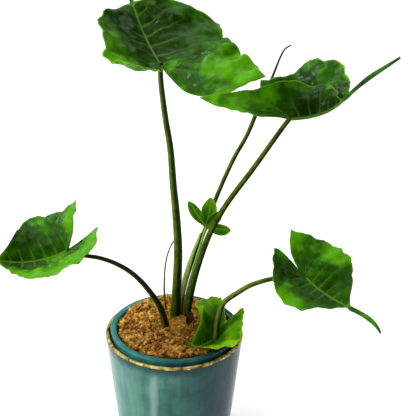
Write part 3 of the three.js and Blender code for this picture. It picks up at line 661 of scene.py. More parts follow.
# routes are measured from the pot's axis and up from plantLevel, or from the offset's crown for
# its own two; the thickness goes from foot to top
offsetCrownAt = (45.6, -30.76)
petioles = {
    "tall_left": {
        "route": [(0, 19, -3), (1, 18, 8), (3, 14, 53), (4, 8, 102), (2, 3, 142), (-1, -3, 180),
                  (-4, -10, 224), (-9, -17, 261), (-13, -25, 302), (-13, -28, 317)],
        "foot": 13, "top": 5},
    "tall_right": {
        "route": [(13, 17, -3), (14, 17, 8), (17, 17, 33), (25, 17, 73), (38, 17, 115), (54, 18, 147),
                  (82, 18, 190), (109, 18, 233), (117, 18, 245)],
        "foot": 8.5, "top": 5},
    "low_left": {
        "route": [(-7, 6, -3), (-9, 4, 8), (-15, 0, 33), (-22, -4, 49), (-33, -10, 69), (-46, -17, 87),
                  (-62, -25, 102), (-78, -32, 112), (-93, -38, 118), (-107, -45, 128)],
        "foot": 8, "top": 4},
    "low_right": {
        "fromOffset": True, "sink": 3.5,
        "route": [(-1, 0, -3), (-1, 0, 8), (0, 2, 31), (4, 5, 49), (8, 6, 56), (19, 9, 63), (33, 12, 71),
                  (47, 15, 75), (61, 18, 77), (78, 21, 77), (93, 24, 75)],
        "foot": 7.5, "top": 4.5},
    "new_leaf": {
        "route": [(6, 27, -3), (7, 28, 8), (9, 30, 30), (18, 36, 66), (33, 45, 104), (45, 54, 138),
                  (64, 66, 180), (78, 74, 204), (91, 83, 234)],
        "foot": 5.5, "top": 4.6},
    "young_leaf": {
        "route": [(11, 22, -3), (11, 23, 8), (13, 24, 33), (22, 25, 73), (34, 26, 117)],
        "foot": 3, "top": 2.4},
    "offset_leaf": {
        "fromOffset": True, "route": [(-6, -7, 4), (-7, -3, 9), (-6, 1, 11)], "foot": 3, "top": 2},
}
for stem in petioles.values():
    if stem.get("fromOffset"):
        stem["route"] = [(x + offsetCrownAt[0], y + offsetCrownAt[1], z) for x, y, z in stem["route"]]
spear = {
    "route": [(91.4, 83.3, 234.6), (98, 88, 249), (105, 93, 264), (113, 99, 284), (118, 102, 292),
              (124, 104, 295)],
    "foot": 4.4, "top": 1.6, "turns": 1.6}
shoot = {
    "route": [(-9, 33, -3), (-9, 33, 6), (-11, 33, 30), (-11, 31, 48), (-10, 28, 68), (-7, 26, 86),
              (-3, 25, 97), (0, 24, 103)],
    "foot": 2.6, "top": 1.6}
# the channel is cut only into stems with a foot over 5 mm; taper is the power that thins a stem
stemDetail = {
    "sides": 24, "step": 2.5, "ribs": 7, "ribDepth": 0.025, "channelDepth": 0.3, "channelEnd": 0.3,
    "channelFrom": 5, "taper": 0.7, "dome": (0.15, 0.5, 0.8)}


def stemFrames(line):
    # directions across the line that don't twist along it
    tangents = np.gradient(line, axis=0)
    tangents /= np.linalg.norm(tangents, axis=1)[:, None]
    across = np.cross(tangents[0], [0.3, 1, 0.2])
    sides = []
    for tangent in tangents:
        across = across - tangent * np.dot(across, tangent)
        across /= np.linalg.norm(across)
        sides.append((across.copy(), np.cross(tangent, across)))
    return tangents, sides


def stemRadius(stem, share):
    return (stem["foot"] + (stem["top"] - stem["foot"]) * share ** stemDetail["taper"]) / 2


def stemMesh(name, stem, rolled=False):
    # a round tapering stem with faint ribs, a channel up its foot and rounded ends
    line = curveThrough([(x, y, z + plantLevel) for x, y, z in stem["route"]])
    length = np.linalg.norm(np.diff(line, axis=0), axis=1).sum()
    count = max(12, int(length / stemDetail["step"]))
    shares = np.linspace(0, 1, count)
    centres = spaced(line, shares)
    centres[:, 2] -= stem.get("sink", 0) * ease(shares, 0.82, 0.97)
    tangents, sides = stemFrames(centres)
    rings, uvs, tones = [], [], []
    for i, u in enumerate(shares):
        radius = stemRadius(stem, u)
        for k in range(stemDetail["sides"] + 1):
            turn = 2 * math.pi * k / stemDetail["sides"]
            grown = 1 + stemDetail["ribDepth"] * math.cos(stemDetail["ribs"] * turn)
            if rolled:  # the free edge of the rolled blade winds up the spear
                grown = 0.9 + 0.2 * ((turn / (2 * math.pi) + stem["turns"] * u) % 1)
            elif stem["foot"] > stemDetail["channelFrom"]:
                away = turn % (2 * math.pi) - math.pi
                fade = max(0.0, 1 - u / stemDetail["channelEnd"])
                grown -= stemDetail["channelDepth"] * fade * math.exp(-(away / 0.4) ** 2)
            a, b = sides[i]
            outward = math.cos(turn) * a + math.sin(turn) * b
            # painted shade: darker on the +X side
            tones.append(-float(ease(outward[0] - 0.2 * outward[1], -0.25, 0.75)))
            rings.append(centres[i] + radius * grown * outward)
            uvs.append((k / stemDetail["sides"], u * length * mm))
    columns = stemDetail["sides"] + 1
    body = np.array(rings).reshape(count, columns, 3)
    radiusTop = stem["top"] / 2
    cap = []
    for lift in stemDetail["dome"]:
        across = (body[-1] - centres[-1]) * math.sqrt(1 - lift ** 2)
        cap.append(centres[-1] + across + tangents[-1] * radiusTop * lift)
        uvs += [(k / stemDetail["sides"], length * mm) for k in range(columns)]
    cap.append(np.repeat([centres[-1] + tangents[-1] * radiusTop], columns, axis=0))
    uvs += [(k / stemDetail["sides"], length * mm) for k in range(columns)]
    foot = np.repeat([centres[0] - tangents[0] * 0.4], columns, axis=0)
    uvs = [(k / stemDetail["sides"], 0) for k in range(columns)] + uvs
    layers = np.concatenate([[foot], body, cap])
    points = layers.reshape(-1, 3) * mm
    tones = tones[:columns] + tones + tones[-columns:] * 4
    piece = meshPiece(name, points, gridFaces(len(layers), columns), uvs={"along": uvs}, tone=tones)
    cleanMesh(piece)
    return piece


def stemSkin(name, dark, light, streak, rough):
    # waxy stem skin: green with fine paler streaks along it, satin; the tone is painted shade on its +X
    # side
    material, tree = startMaterial(name)
    along = addNode(tree, "ShaderNodeUVMap", uv_map="along").outputs[0]
    coords = addNode(tree, "ShaderNodeTexCoord").outputs["Object"]
    drawn = addNode(tree, "ShaderNodeMapping", {"Vector": along, "Scale": (26, 34, 1)}).outputs[0]
    streaks = addNode(tree, "ShaderNodeTexNoise", {
        "Vector": drawn, "Scale": 1, "Detail": 4, "Roughness": 0.6}).outputs["Fac"]
    mottle = addNode(tree, "ShaderNodeTexNoise", {
        "Vector": coords, "Scale": 120, "Detail": 4, "Roughness": 0.6}).outputs["Fac"]
    shade = addNode(tree, "ShaderNodeAttribute", attribute_name="tone").outputs["Fac"]
    both = addNode(tree, "ShaderNodeMath", {0: streaks, 1: mottle}, operation="ADD").outputs[0]
    both = addNode(tree, "ShaderNodeMath", {
        0: shade, 1: 0.75, 2: both}, operation="MULTIPLY_ADD").outputs[0]
    spread = addNode(tree, "ShaderNodeMapRange", {
        "Value": both, "From Min": 0.4, "From Max": 1.3}).outputs[0]
    skin = addNode(tree, "ShaderNodeValToRGB", {"Fac": spread}, stops=[
        (0.0, dark), (1.0, streak), (0.5, light)]).outputs[0]
    roughness = addNode(tree, "ShaderNodeMapRange", {
        "Value": mottle, "From Min": 0.3, "From Max": 0.7,
        "To Min": rough - 0.06, "To Max": rough + 0.08}).outputs[0]
    bump = addNode(tree, "ShaderNodeBump", {
        "Height": streaks, "Strength": 0.3, "Distance": 0.0004}).outputs[0]
    surface = addNode(tree, "ShaderNodeBsdfPrincipled", {
        "Base Color": skin, "Roughness": roughness, "Normal": bump,
        "Specular IOR Level": 0.15, "Specular Tint": linearColor("#A8C070")})
    addNode(tree, "ShaderNodeOutputMaterial", {"Surface": surface.outputs[0]})
    return material


darkStemSkin = stemSkin("waxyStemSkinDark", "#0C1600", "#2C4204", "#5E7614", 0.38)
oliveStemSkin = stemSkin("waxyStemSkinOlive", "#1E2C04", "#4A5C10", "#76802A", 0.42)
youngStemSkin = stemSkin("waxyStemSkinYoung", "#4A7A14", "#6E9C24", "#9CBC50", 0.42)
stemSkins = {"low_right": oliveStemSkin, "young_leaf": youngStemSkin, "offset_leaf": youngStemSkin}
for stemName, stem in petioles.items():
    slotName = "young_green" if stemName == "young_leaf" else "petiole_green"
    finishPiece(stemMesh("petiole_" + stemName + "_skin", stem), "petiole_" + stemName + "_skin",
                ["petiole_" + stemName], slotName, stemSkins.get(stemName, darkStemSkin))
finishPiece(stemMesh("spearRolled", spear, rolled=True), "spearRolled",
            ["rolled_new_leaf"], "petiole_green", darkStemSkin)
finishPiece(stemMesh("shootThin", shoot), "shootThin", ["thin_shoot"], "young_green", oliveStemSkin)
print("stage: petioles")


# Each blade is an arrow-shaped plate, folded along its midrib and rippled between its veins.

# length runs from the petiole to the root of the tail; each half has its own width, lobe and folds;
# patches are (across, along, size, tone) and partly stand in for light and shade on the leaf;
# bulges of the edge are (count of veins, width, growth)
blades = {
    "tall_left": {
        "heading": 112, "pitch": 14, "roll": 25, "length": 90, "widest": 0.11, "droop": -22,
        "sway": 12, "twist": 10,
        "tail": 42, "tailHalf": 2, "tailBulge": 1.8, "tailDroop": -60, "tailCurl": 0, "tailSway": 57,
        "ruffle": 3.4,
        "left": {
            "width": 65, "lobe": 64, "spread": 38, "full": 8, "blunt": 0.3, "fold": 58, "lobeFold": 38,
            "curl": 4, "lobeRise": -67, "lobeTurn": -1, "phase": -0.4},
        "right": {
            "width": 68, "lobe": 107, "spread": 60, "full": 30, "blunt": 0.4, "fold": 2, "lobeFold": 17,
            "curl": -34, "lobeRise": 4, "lobeTurn": -21, "phase": 2.4,
            "bulges": [(6.3, 0.75, 0.14), (4.6, 0.3, 0.05), (7.9, 0.5, 0.04)]},
        "patches": [(0, 60, 60, -0.26), (40, -50, 22, 0.16), (58, -82, 22, 0.14),
                    (-38, -20, 26, 0.28), (10, -14, 14, 0.2)],
    },
    "tall_right": {
        "heading": -32, "pitch": 12, "roll": -6, "length": 82, "widest": 0.1, "droop": -39,
        "sway": 30, "twist": 5,
        "tail": 77, "tailHalf": 2.2, "tailBulge": 3.4, "tailDroop": 14, "tailCurl": 0,
        "tailSway": -61, "ruffle": 0.6,
        "left": {
            "width": 74, "lobe": 56, "spread": 38, "full": 9, "blunt": 0, "fold": 29, "lobeFold": 17,
            "curl": 14, "lobeRise": -34, "lobeTurn": 0, "phase": 3.2},
        "right": {
            "width": 39, "lobe": 85, "spread": 48, "full": 7, "blunt": 0, "fold": 114, "lobeFold": 46,
            "curl": 56, "lobeRise": 19, "lobeTurn": 0, "phase": 4.2},
        "patches": [(30, -75, 32, 0.14), (8, -14, 14, 0.14), (-40, 20, 45, -0.1), (20, 45, 40, -0.2)],
    },
    "low_left": {
        "heading": 201, "pitch": -22, "roll": 7, "length": 74, "widest": 0.1, "droop": -38,
        "sway": 20, "twist": 7,
        "tail": 40, "tailHalf": 2, "tailBulge": 2, "tailDroop": 48, "tailCurl": 0, "tailSway": -17,
        "ruffle": 0.8,
        "left": {
            "width": 63, "lobe": 40, "spread": 10, "full": 24, "blunt": 0, "fold": 18, "lobeFold": 16,
            "curl": 14, "lobeRise": -28, "lobeTurn": 0, "phase": -0.8},
        "right": {
            "width": 63, "lobe": 43, "spread": 42, "full": 0, "blunt": 0, "fold": 37, "lobeFold": 27,
            "curl": -55, "lobeRise": -50, "lobeTurn": 0, "phase": -1.6},
        "patches": [(-45, 20, 40, 0.36), (-15, -35, 26, 0.34), (35, -35, 22, 0.3), (28, 45, 22, -0.24),
                    (40, 10, 16, 0.14)],
    },
    "low_right": {
        "heading": -45, "pitch": -26, "roll": -5, "length": 60, "widest": 0.2, "droop": -28,
        "sway": -3, "twist": 17,
        "tail": 46, "tailHalf": 3.2, "tailBulge": 2.6, "tailDroop": 24, "tailCurl": 50,
        "tailSway": -4, "ruffle": 1.2,
        "left": {
            "width": 53, "lobe": 53, "spread": 23, "full": 6, "blunt": 0, "fold": 30, "lobeFold": 19,
            "curl": -10, "lobeRise": -15, "lobeTurn": 0, "phase": 0.8},
        "right": {
            "width": 43, "lobe": 45, "spread": 9, "full": 8, "blunt": 0, "fold": -1, "lobeFold": 11,
            "curl": -15, "lobeRise": -19, "lobeTurn": 0, "phase": 1.2},
        "patches": [(22, -28, 17, -0.26), (42, 12, 18, 0.3), (-16, -48, 16, 0.26), (-48, -4, 22, 0.22),
                    (-40, 32, 18, -0.2), (20, 45, 16, -0.12)],
    },
    "offset_leaf": {
        "heading": 235, "pitch": -7, "roll": -8, "length": 29, "widest": 0.1, "droop": -38,
        "sway": 28, "twist": -1,
        "tail": 7, "tailHalf": 1, "tailBulge": 1, "tailDroop": -15, "tailCurl": 0, "tailSway": 30,
        "ruffle": 2,
        "left": {
            "width": 42, "lobe": 46, "spread": 26, "full": 11, "blunt": 0, "fold": 20, "lobeFold": 32,
            "curl": -13, "lobeRise": -34, "lobeTurn": 0, "phase": -1.4},
        "right": {
            "width": 44, "lobe": 49, "spread": 28, "full": 12, "blunt": 0, "fold": 68, "lobeFold": 43,
            "curl": 42, "lobeRise": 3, "lobeTurn": 0, "phase": -0.1},
        "patches": [(0, -8, 14, -0.3), (40, -10, 14, 0.3), (-30, 5, 14, 0.1), (12, -32, 12, -0.16)],
    },
}
bladeDetail = {
    "innerSteps": 36, "outerSteps": 96, "tailSteps": 30, "across": 34, "waves": 3,
    "lobeVeins": 4, "bodyVeins": 6, "veinSweep": 0.45, "pucker": 0.6, "crumple": 3.4, "scallop": 0.035,
    "skin": 0.5, "ribThick": 1.9,
}


def ribAngles(leaf, half, b):
    back = np.clip(-b / half["lobe"], 0, 1.3)
    body = np.clip(b / leaf["length"], 0, 1)
    tip = np.clip((b - leaf["length"]) / leaf["tail"], 0, 1)
    rise = half["lobeRise"] * back - leaf["droop"] * body
    rise = rise - leaf["tailDroop"] * tip - leaf["tailCurl"] * tip ** 3
    turn = half["lobeTurn"] * back + leaf["sway"] * body + leaf["tailSway"] * tip
    return np.radians(rise), np.radians(turn), np.radians(leaf["twist"] * body)


def ribAlong(rise, turn):
    return np.stack([np.sin(turn) * np.cos(rise), np.cos(turn) * np.cos(rise), np.sin(rise)], axis=-1)


def bladePoints(leaf, half, outward, a, b, extra):
    # where points a mm across and b mm along a blade pressed flat lie once it is folded and curled
    rise, turn, twist = ribAngles(leaf, half, b)
    steps = 24
    sub = b[:, None] * (np.arange(steps) + 0.5) / steps
    subRise, subTurn, _ = ribAngles(leaf, half, sub)
    place = ribAlong(subRise, subTurn).mean(axis=1) * b[:, None]
    level = np.stack([np.cos(turn), -np.sin(turn), np.zeros_like(turn)], axis=-1)
    upright = np.cross(level, ribAlong(rise, turn))
    c, s = np.cos(twist)[:, None], np.sin(twist)[:, None]
    across, up = level * c + upright * s, upright * c - level * s
    share = b / leaf["length"]
    fold = half["lobeFold"] + (half["fold"] - half["lobeFold"]) * ease(share, -0.35, 0.25)
    fold = np.radians(fold * (1 - 0.6 * ease(share, 0.8, 1.05)))
    curl = math.radians(half["curl"]) / half["width"]
    angle = fold + curl * a
    wave = leaf["ruffle"] * (a / half["width"]) ** 2 * np.sin(
        2 * math.pi * bladeDetail["waves"] * b / leaf["length"] + half["phase"])
    reach = (np.sin(angle) - np.sin(fold)) / curl - extra * np.sin(angle)
    height = (np.cos(fold) - np.cos(angle)) / curl + (wave + extra) * np.cos(angle)
    return place + across * (outward * reach)[:, None] + up * height[:, None]


def throughFlat(points, perSpan=16):
    # the outline's own spline, through points in the flat
    pts = np.array(points, float)
    line = []
    for i in range(len(pts) - 1):
        p0, p1, p2 = pts[max(i - 1, 0)], pts[i], pts[i + 1]
        p3 = pts[min(i + 2, len(pts) - 1)]
        for t in np.linspace(0, 1, perSpan, endpoint=False):
            v0, v1 = (p2 - p0) / 2, (p3 - p1) / 2
            cubic, square = 2 * p1 - 2 * p2 + v0 + v1, -3 * p1 + 3 * p2 - 2 * v0 - v1
            line.append(cubic * t ** 3 + square * t * t + v0 * t + p1)
    line.append(pts[-1])
    return np.array(line)


def halfRows(leaf, half):
    # the edge of one half from the petiole round its lobe to the tail's end, the place on the
    # midrib that each edge point hangs from, and a count of the side veins passed on the way
    inner, outer, tail = bladeDetail["innerSteps"], bladeDetail["outerSteps"], bladeDetail["tailSteps"]
    length, width, lobe, spread = leaf["length"], half["width"], half["lobe"], half["spread"]
    inward = np.array([-lobe, -spread]) / math.hypot(lobe, spread)
    blunt = half["blunt"]
    tip = np.array([spread, -lobe])

    def onLobe(share, bulge):
        p = tip * share + inward * half["full"] * bulge
        return (max(p[0], 0.5 * share), p[1])

    innerEdge = [
        (0, 0), onLobe(0.12, 0.55), onLobe(0.36, 0.95), onLobe(0.62, 0.95), onLobe(0.86, 0.5), tuple(tip)]
    outerEdge = [
        tuple(tip), (spread + 0.4 * (width - spread), -0.72 * lobe),
        (spread + 0.86 * (width - spread), -0.28 * lobe),
        (width, leaf["widest"] * length), ((0.9 + 0.08 * blunt) * width, (0.42 + 0.06 * blunt) * length),
        ((0.58 + 0.3 * blunt) * width, (0.7 + 0.1 * blunt) * length),
        ((0.22 + 0.36 * blunt) * width, (0.89 + 0.09 * blunt) * length), (leaf["tailHalf"], length)]
    tailEdge = [
        (leaf["tailHalf"], length), (0.8 * leaf["tailHalf"], length + 0.3 * leaf["tail"]),
        (leaf["tailBulge"], length + 0.62 * leaf["tail"]), (0, length + leaf["tail"])]
    edge = np.concatenate([
        spaced(throughFlat(innerEdge), np.linspace(0, 1, inner + 1)),
        spaced(throughFlat(outerEdge), np.linspace(0, 1, outer + 1))[1:],
        spaced(throughFlat(tailEdge), np.linspace(0, 1, tail + 1))[1:]])
    fan, body = inner + round(0.3 * outer), inner + outer
    steps = np.arange(len(edge))
    ribs = np.where(steps <= fan, 0, 0.96 * length * (steps - fan) / (body - fan))
    ribs = np.where(steps > body, length + leaf["tail"] * (steps - body) / tail, ribs)
    veins = np.where(steps < fan, bladeDetail["lobeVeins"] * steps / fan,
                     bladeDetail["lobeVeins"] + bladeDetail["bodyVeins"] * (steps - fan) / (body - fan))
    return edge, ribs, np.minimum(veins, bladeDetail["lobeVeins"] + bladeDetail["bodyVeins"])


def bladeMesh(name, leaf, joint):
    # both halves of a blade, with its crumples and the thicker midrib and tail
    heading, pitch, roll = (math.radians(leaf[key]) for key in ("heading", "pitch", "roll"))
    forward = np.array([
        math.cos(pitch) * math.cos(heading), math.cos(pitch) * math.sin(heading), math.sin(pitch)])
    level = np.array([math.sin(heading), -math.cos(heading), 0])
    lift = np.cross(level, forward)
    right = level * math.cos(roll) + lift * math.sin(roll)
    up = np.cross(right, forward)
    shares = np.linspace(0, 1, bladeDetail["across"] + 1)
    allPoints, allFaces, flats, veinPairs, weighting, tones, start = [], [], [], [], [], [], 0
    for side, outward in (("right", 1), ("left", -1)):
        half = leaf[side]
        edge, ribs, veins = halfRows(leaf, half)
        rowCount = len(edge)
        share = np.tile(shares, rowCount)
        counted = np.repeat(veins, len(shares)) - bladeDetail["veinSweep"] * share ** 2
        inTail = ease(np.repeat(ribs, len(shares)), 0.9 * leaf["length"], leaf["length"])
        between = np.abs(np.sin(math.pi * counted))
        uneven = np.array([noise.noise(Vector((v * 0.9, outward * 5, leaf["heading"]))) for v in counted])
        fine = np.array([noise.noise(Vector((v * 3.1, outward * 5, leaf["heading"]))) for v in counted])
        out = bladeDetail["scallop"] * (between - 0.6 + 1.5 * uneven + 0.7 * fine)
        for at, wide, grow in half.get("bulges", ()):
            out += grow * np.exp(-((counted - at) / wide) ** 4)
        out = 1 + out * share ** 3 * (1 - inTail)
        a = np.repeat(edge[:, 0], len(shares)) * share * out
        b = np.repeat(ribs, len(shares)) * (1 - share) + np.repeat(edge[:, 1], len(shares)) * share * (
            1 + (out - 1) * (np.repeat(edge[:, 1], len(shares)) < 0))
        pillow = bladeDetail["pucker"] * between ** 1.3 * np.sin(math.pi * np.clip(share, 0, 1)) ** 0.6
        pillow = pillow * (1 - inTail)
        folds = np.array([
            noise.noise(Vector((x * 0.05, y * 0.05, leaf["heading"])))
            + 0.5 * noise.noise(Vector((x * 0.13, y * 0.13, 4)))
            for x, y in zip(outward * a, b)])
        pillow += bladeDetail["crumple"] * folds * ease(a, 1, 14) * (1 - inTail)
        pillow *= min(1, leaf["length"] / 60)
        local = bladePoints(leaf, half, outward, a, b, pillow)
        allPoints.append(joint + local[:, :1] * right + local[:, 1:2] * forward + local[:, 2:] * up)
        faces = gridFaces(rowCount, len(shares))
        allFaces += [tuple(v + start for v in (f if side == "right" else f[::-1])) for f in faces]
        flats.append(np.stack([outward * a * mm, b * mm], axis=1))
        veinPairs.append(np.stack([counted, share * (1 - inTail) + 2 * inTail], axis=1))
        onRib = np.exp(-(a / 1.6) ** 2) * (np.repeat(ribs, len(shares)) >= 0) * (b > -0.5)
        onTail = ease(b, leaf["length"], 1.06 * leaf["length"]) * inTail
        weighting.append(np.clip(onRib * (1 - 0.6 * np.clip(b / leaf["length"], 0, 1)) + onTail, 0.02, 1))
        tone = -0.12 * onTail
        for x, y, size, amount in leaf.get("patches", ()):
            tone = tone + amount * np.exp(-((outward * a - x) ** 2 + (b - y) ** 2) / size ** 2)
        tones.append(tone)
        start += len(a)
    piece = meshPiece(name, np.concatenate(allPoints) * mm, allFaces,
                      uvs={"flat": np.concatenate(flats), "veins": np.concatenate(veinPairs)},
                      tone=np.concatenate(tones))
    group = piece.vertex_groups.new(name="rib")
    for index, weight in enumerate(np.concatenate(weighting)):
        group.add([index], float(weight), "REPLACE")
    pickOnly(piece)
    bpy.ops.object.mode_set(mode="EDIT")
    bpy.ops.mesh.select_all(action="SELECT")
    bpy.ops.mesh.remove_doubles(threshold=0.00003)
    bpy.ops.mesh.select_all(action="DESELECT")
    bpy.ops.object.mode_set(mode="OBJECT")
    skin = piece.modifiers.new("skin", "SOLIDIFY")
    skin.thickness = (bladeDetail["skin"] + bladeDetail["ribThick"]) * mm
    skin.vertex_group = "rib"
    skin.thickness_vertex_group = bladeDetail["skin"] / (bladeDetail["skin"] + bladeDetail["ribThick"])
    skin.offset = -1
    skin.material_offset = 1
    applyModifiers(piece)
    return piece


def leafSkin(name, colors, rough, glow, under=False):
    # waxy leaf skin with its veins drawn from the blade's own maps; glow is the share of light
    # that comes through
    material, tree = startMaterial(name)
    coords = addNode(tree, "ShaderNodeTexCoord").outputs["Object"]
    veinMap = addNode(tree, "ShaderNodeUVMap", uv_map="veins").outputs[0]
    flatMap = addNode(tree, "ShaderNodeUVMap", uv_map="flat").outputs[0]
    counted = addNode(tree, "ShaderNodeSeparateXYZ", {0: veinMap}).outputs
    flat = addNode(tree, "ShaderNodeSeparateXYZ", {0: flatMap}).outputs
    share = counted["Y"]
    # how far from the nearest side vein, in mm, from its count and the spacing there
    offVein = addNode(tree, "ShaderNodeMath", {0: counted["X"], 1: 1.0}, operation="PINGPONG").outputs[0]
    offVein = addNode(tree, "ShaderNodeMath", {0: offVein, 1: 0.5}, operation="PINGPONG").outputs[0]
    spacing = addNode(tree, "ShaderNodeMath", {
        0: share, 1: 18.0, 2: 4.0}, operation="MULTIPLY_ADD").outputs[0]
    away = addNode(tree, "ShaderNodeMath", {0: offVein, 1: spacing}, operation="MULTIPLY").outputs[0]
    halfWidth = addNode(tree, "ShaderNodeMapRange", {
        "Value": share, "To Min": 0.95, "To Max": 0.3}).outputs[0]
    sideVein = addNode(tree, "ShaderNodeMapRange", {
        "Value": away, "From Min": 0.0, "From Max": halfWidth, "To Min": 1, "To Max": 0}).outputs[0]
    fade = addNode(tree, "ShaderNodeMapRange", {
        "Value": share, "From Min": 0.1, "From Max": 0.85, "To Min": 0.6, "To Max": 0.12}).outputs[0]
    sideVein = addNode(tree, "ShaderNodeMath", {0: sideVein, 1: fade}, operation="MULTIPLY").outputs[0]
    offRib = addNode(tree, "ShaderNodeMath", {0: flat["X"]}, operation="ABSOLUTE").outputs[0]
    midVein = addNode(tree, "ShaderNodeMapRange", {
        "Value": offRib, "From Min": 0.0007, "From Max": 0.0017, "To Min": 1, "To Max": 0}).outputs[0]
    ahead = addNode(tree, "ShaderNodeMath", {0: flat["Y"], 1: -0.001}, operation="GREATER_THAN").outputs[0]
    midVein = addNode(tree, "ShaderNodeMath", {0: midVein, 1: ahead}, operation="MULTIPLY").outputs[0]
    body = addNode(tree, "ShaderNodeMapRange", {
        "Value": share, "From Min": 1.0, "From Max": 1.6, "To Min": 1, "To Max": 0}).outputs[0]
    midVein = addNode(tree, "ShaderNodeMath", {0: midVein, 1: body}, operation="MULTIPLY").outputs[0]
    veinMask = addNode(tree, "ShaderNodeMath", {0: sideVein, 1: midVein}, operation="MAXIMUM").outputs[0]
    # soft mottling about 20 mm across and a fine net of veinlets about 2.5 mm apart
    mottle = addNode(tree, "ShaderNodeTexNoise", {
        "Vector": coords, "Scale": 48, "Detail": 4, "Roughness": 0.55}).outputs["Fac"]
    net = addNode(tree, "ShaderNodeTexVoronoi", {
        "Vector": coords, "Scale": 400}, feature="DISTANCE_TO_EDGE").outputs["Distance"]
    netLine = addNode(tree, "ShaderNodeMapRange", {
        "Value": net, "From Min": 0.14, "From Max": 0.0, "To Max": 0.1}).outputs[0]
    toEdge = addNode(tree, "ShaderNodeMapRange", {
        "Value": share, "From Min": 0.2, "From Max": 1.0, "To Min": -0.1, "To Max": 0.16}).outputs[0]
    patches = addNode(tree, "ShaderNodeAttribute", attribute_name="tone").outputs["Fac"]
    tone = addNode(tree, "ShaderNodeMath", {0: mottle, 1: toEdge}, operation="ADD").outputs[0]
    tone = addNode(tree, "ShaderNodeMath", {0: tone, 1: patches}, operation="ADD").outputs[0]
    skin = addNode(tree, "ShaderNodeValToRGB", {"Fac": tone}, stops=[
        (0.3, colors["deep"]), (0.78, colors["bright"]), (0.54, colors["mid"])]).outputs[0]
    skin = addNode(tree, "ShaderNodeMix", {
        0: netLine, 6: skin, 7: linearColor(colors["bright"])}, data_type="RGBA").outputs[2]
    veinShare = addNode(tree, "ShaderNodeMath", {0: veinMask, 1: 0.6}, operation="MULTIPLY").outputs[0]
    skin = addNode(tree, "ShaderNodeMix", {
        0: veinShare, 6: skin, 7: linearColor(colors["vein"])}, data_type="RGBA").outputs[2]
    rim = addNode(tree, "ShaderNodeMapRange", {
        "Value": share, "From Min": 0.972, "From Max": 0.99, "To Max": 0.7}).outputs[0]
    rim = addNode(tree, "ShaderNodeMath", {0: rim, 1: body}, operation="MULTIPLY").outputs[0]
    skin = addNode(tree, "ShaderNodeMix", {
        0: rim, 6: skin, 7: linearColor(colors["margin"])}, data_type="RGBA").outputs[2]
    roughness = addNode(tree, "ShaderNodeMapRange", {
        "Value": mottle, "From Min": 0.3, "From Max": 0.7,
        "To Min": rough - 0.05, "To Max": rough + 0.1}).outputs[0]
    relief = addNode(tree, "ShaderNodeMath", {
        0: veinMask, 1: 0.7 if under else -0.7, 2: netLine}, operation="MULTIPLY_ADD").outputs[0]
    bump = addNode(tree, "ShaderNodeBump", {
        "Height": relief, "Strength": 0.6, "Distance": 0.0006}).outputs[0]
    surface = addNode(tree, "ShaderNodeBsdfPrincipled", {
        "Base Color": skin, "Roughness": roughness, "Normal": bump,
        "Specular IOR Level": 0.08 if under else 0.14, "Specular Tint": linearColor("#A4D080")})
    through = addNode(tree, "ShaderNodeBsdfTranslucent", {"Color": linearColor(colors["through"])})
    both = addNode(tree, "ShaderNodeMixShader", {0: glow, 1: surface.outputs[0], 2: through.outputs[0]})
    addNode(tree, "ShaderNodeOutputMaterial", {"Surface": both.outputs[0]})
    return material


# full-grown leaf: thick waxy skin, dark green and glossy above, with paler veins; duller below
grownUpper = leafSkin("waxyLeafUpper", {
    "deep": "#0A1E00", "mid": "#1E4A00", "bright": "#4C9202", "vein": "#5E8C20", "margin": "#6C9A14",
    "through": "#6CB400"}, 0.34, 0.14)
grownUnder = leafSkin("waxyLeafUnder", {
    "deep": "#0E2800", "mid": "#1E4600", "bright": "#3C7404", "vein": "#567E26", "margin": "#5E9014",
    "through": "#5FA81A"}, 0.55, 0.14, under=True)
# half-grown leaf of the offset: thinner skin, so brighter and yellower where light comes through
freshUpper = leafSkin("softLeafUpper", {
    "deep": "#123C00", "mid": "#2E7000", "bright": "#7CB404", "vein": "#6CA41C", "margin": "#A0C814",
    "through": "#9AD012"}, 0.42, 0.25)
freshUnder = leafSkin("softLeafUnder", {
    "deep": "#1A4C00", "mid": "#3E8204", "bright": "#82B80C", "vein": "#86B830", "margin": "#A6C81C",
    "through": "#9AD012"}, 0.5, 0.25, under=True)

for leafName, leaf in blades.items():
    joint = np.array(petioles[leafName]["route"][-1], float) + [0, 0, plantLevel]
    fresh = leafName == "offset_leaf"
    piece = bladeMesh("blade_" + leafName + "_skin", leaf, joint)
    finishPiece(piece, piece.name, ["blade_" + leafName], "offset_green" if fresh else "leaf_green",
                freshUpper if fresh else grownUpper, freshUnder if fresh else grownUnder)
print("stage: blades")


# The young leaf has four cupped lobes; the sheath clasps the newest petiole.

# each lobe is its tip from the foot, its width and where its waves start
youngLeaf = {
    "foot": (34, 26, 257), "thickness": 0.5,
    "lobes": [((-19, -6, 34), 11.5, 0.3), ((5, 3, 34), 16, 1.4), ((15, -4, 21), 13, 2.2),
              ((26, -6, 0), 14, 3.4)],
}


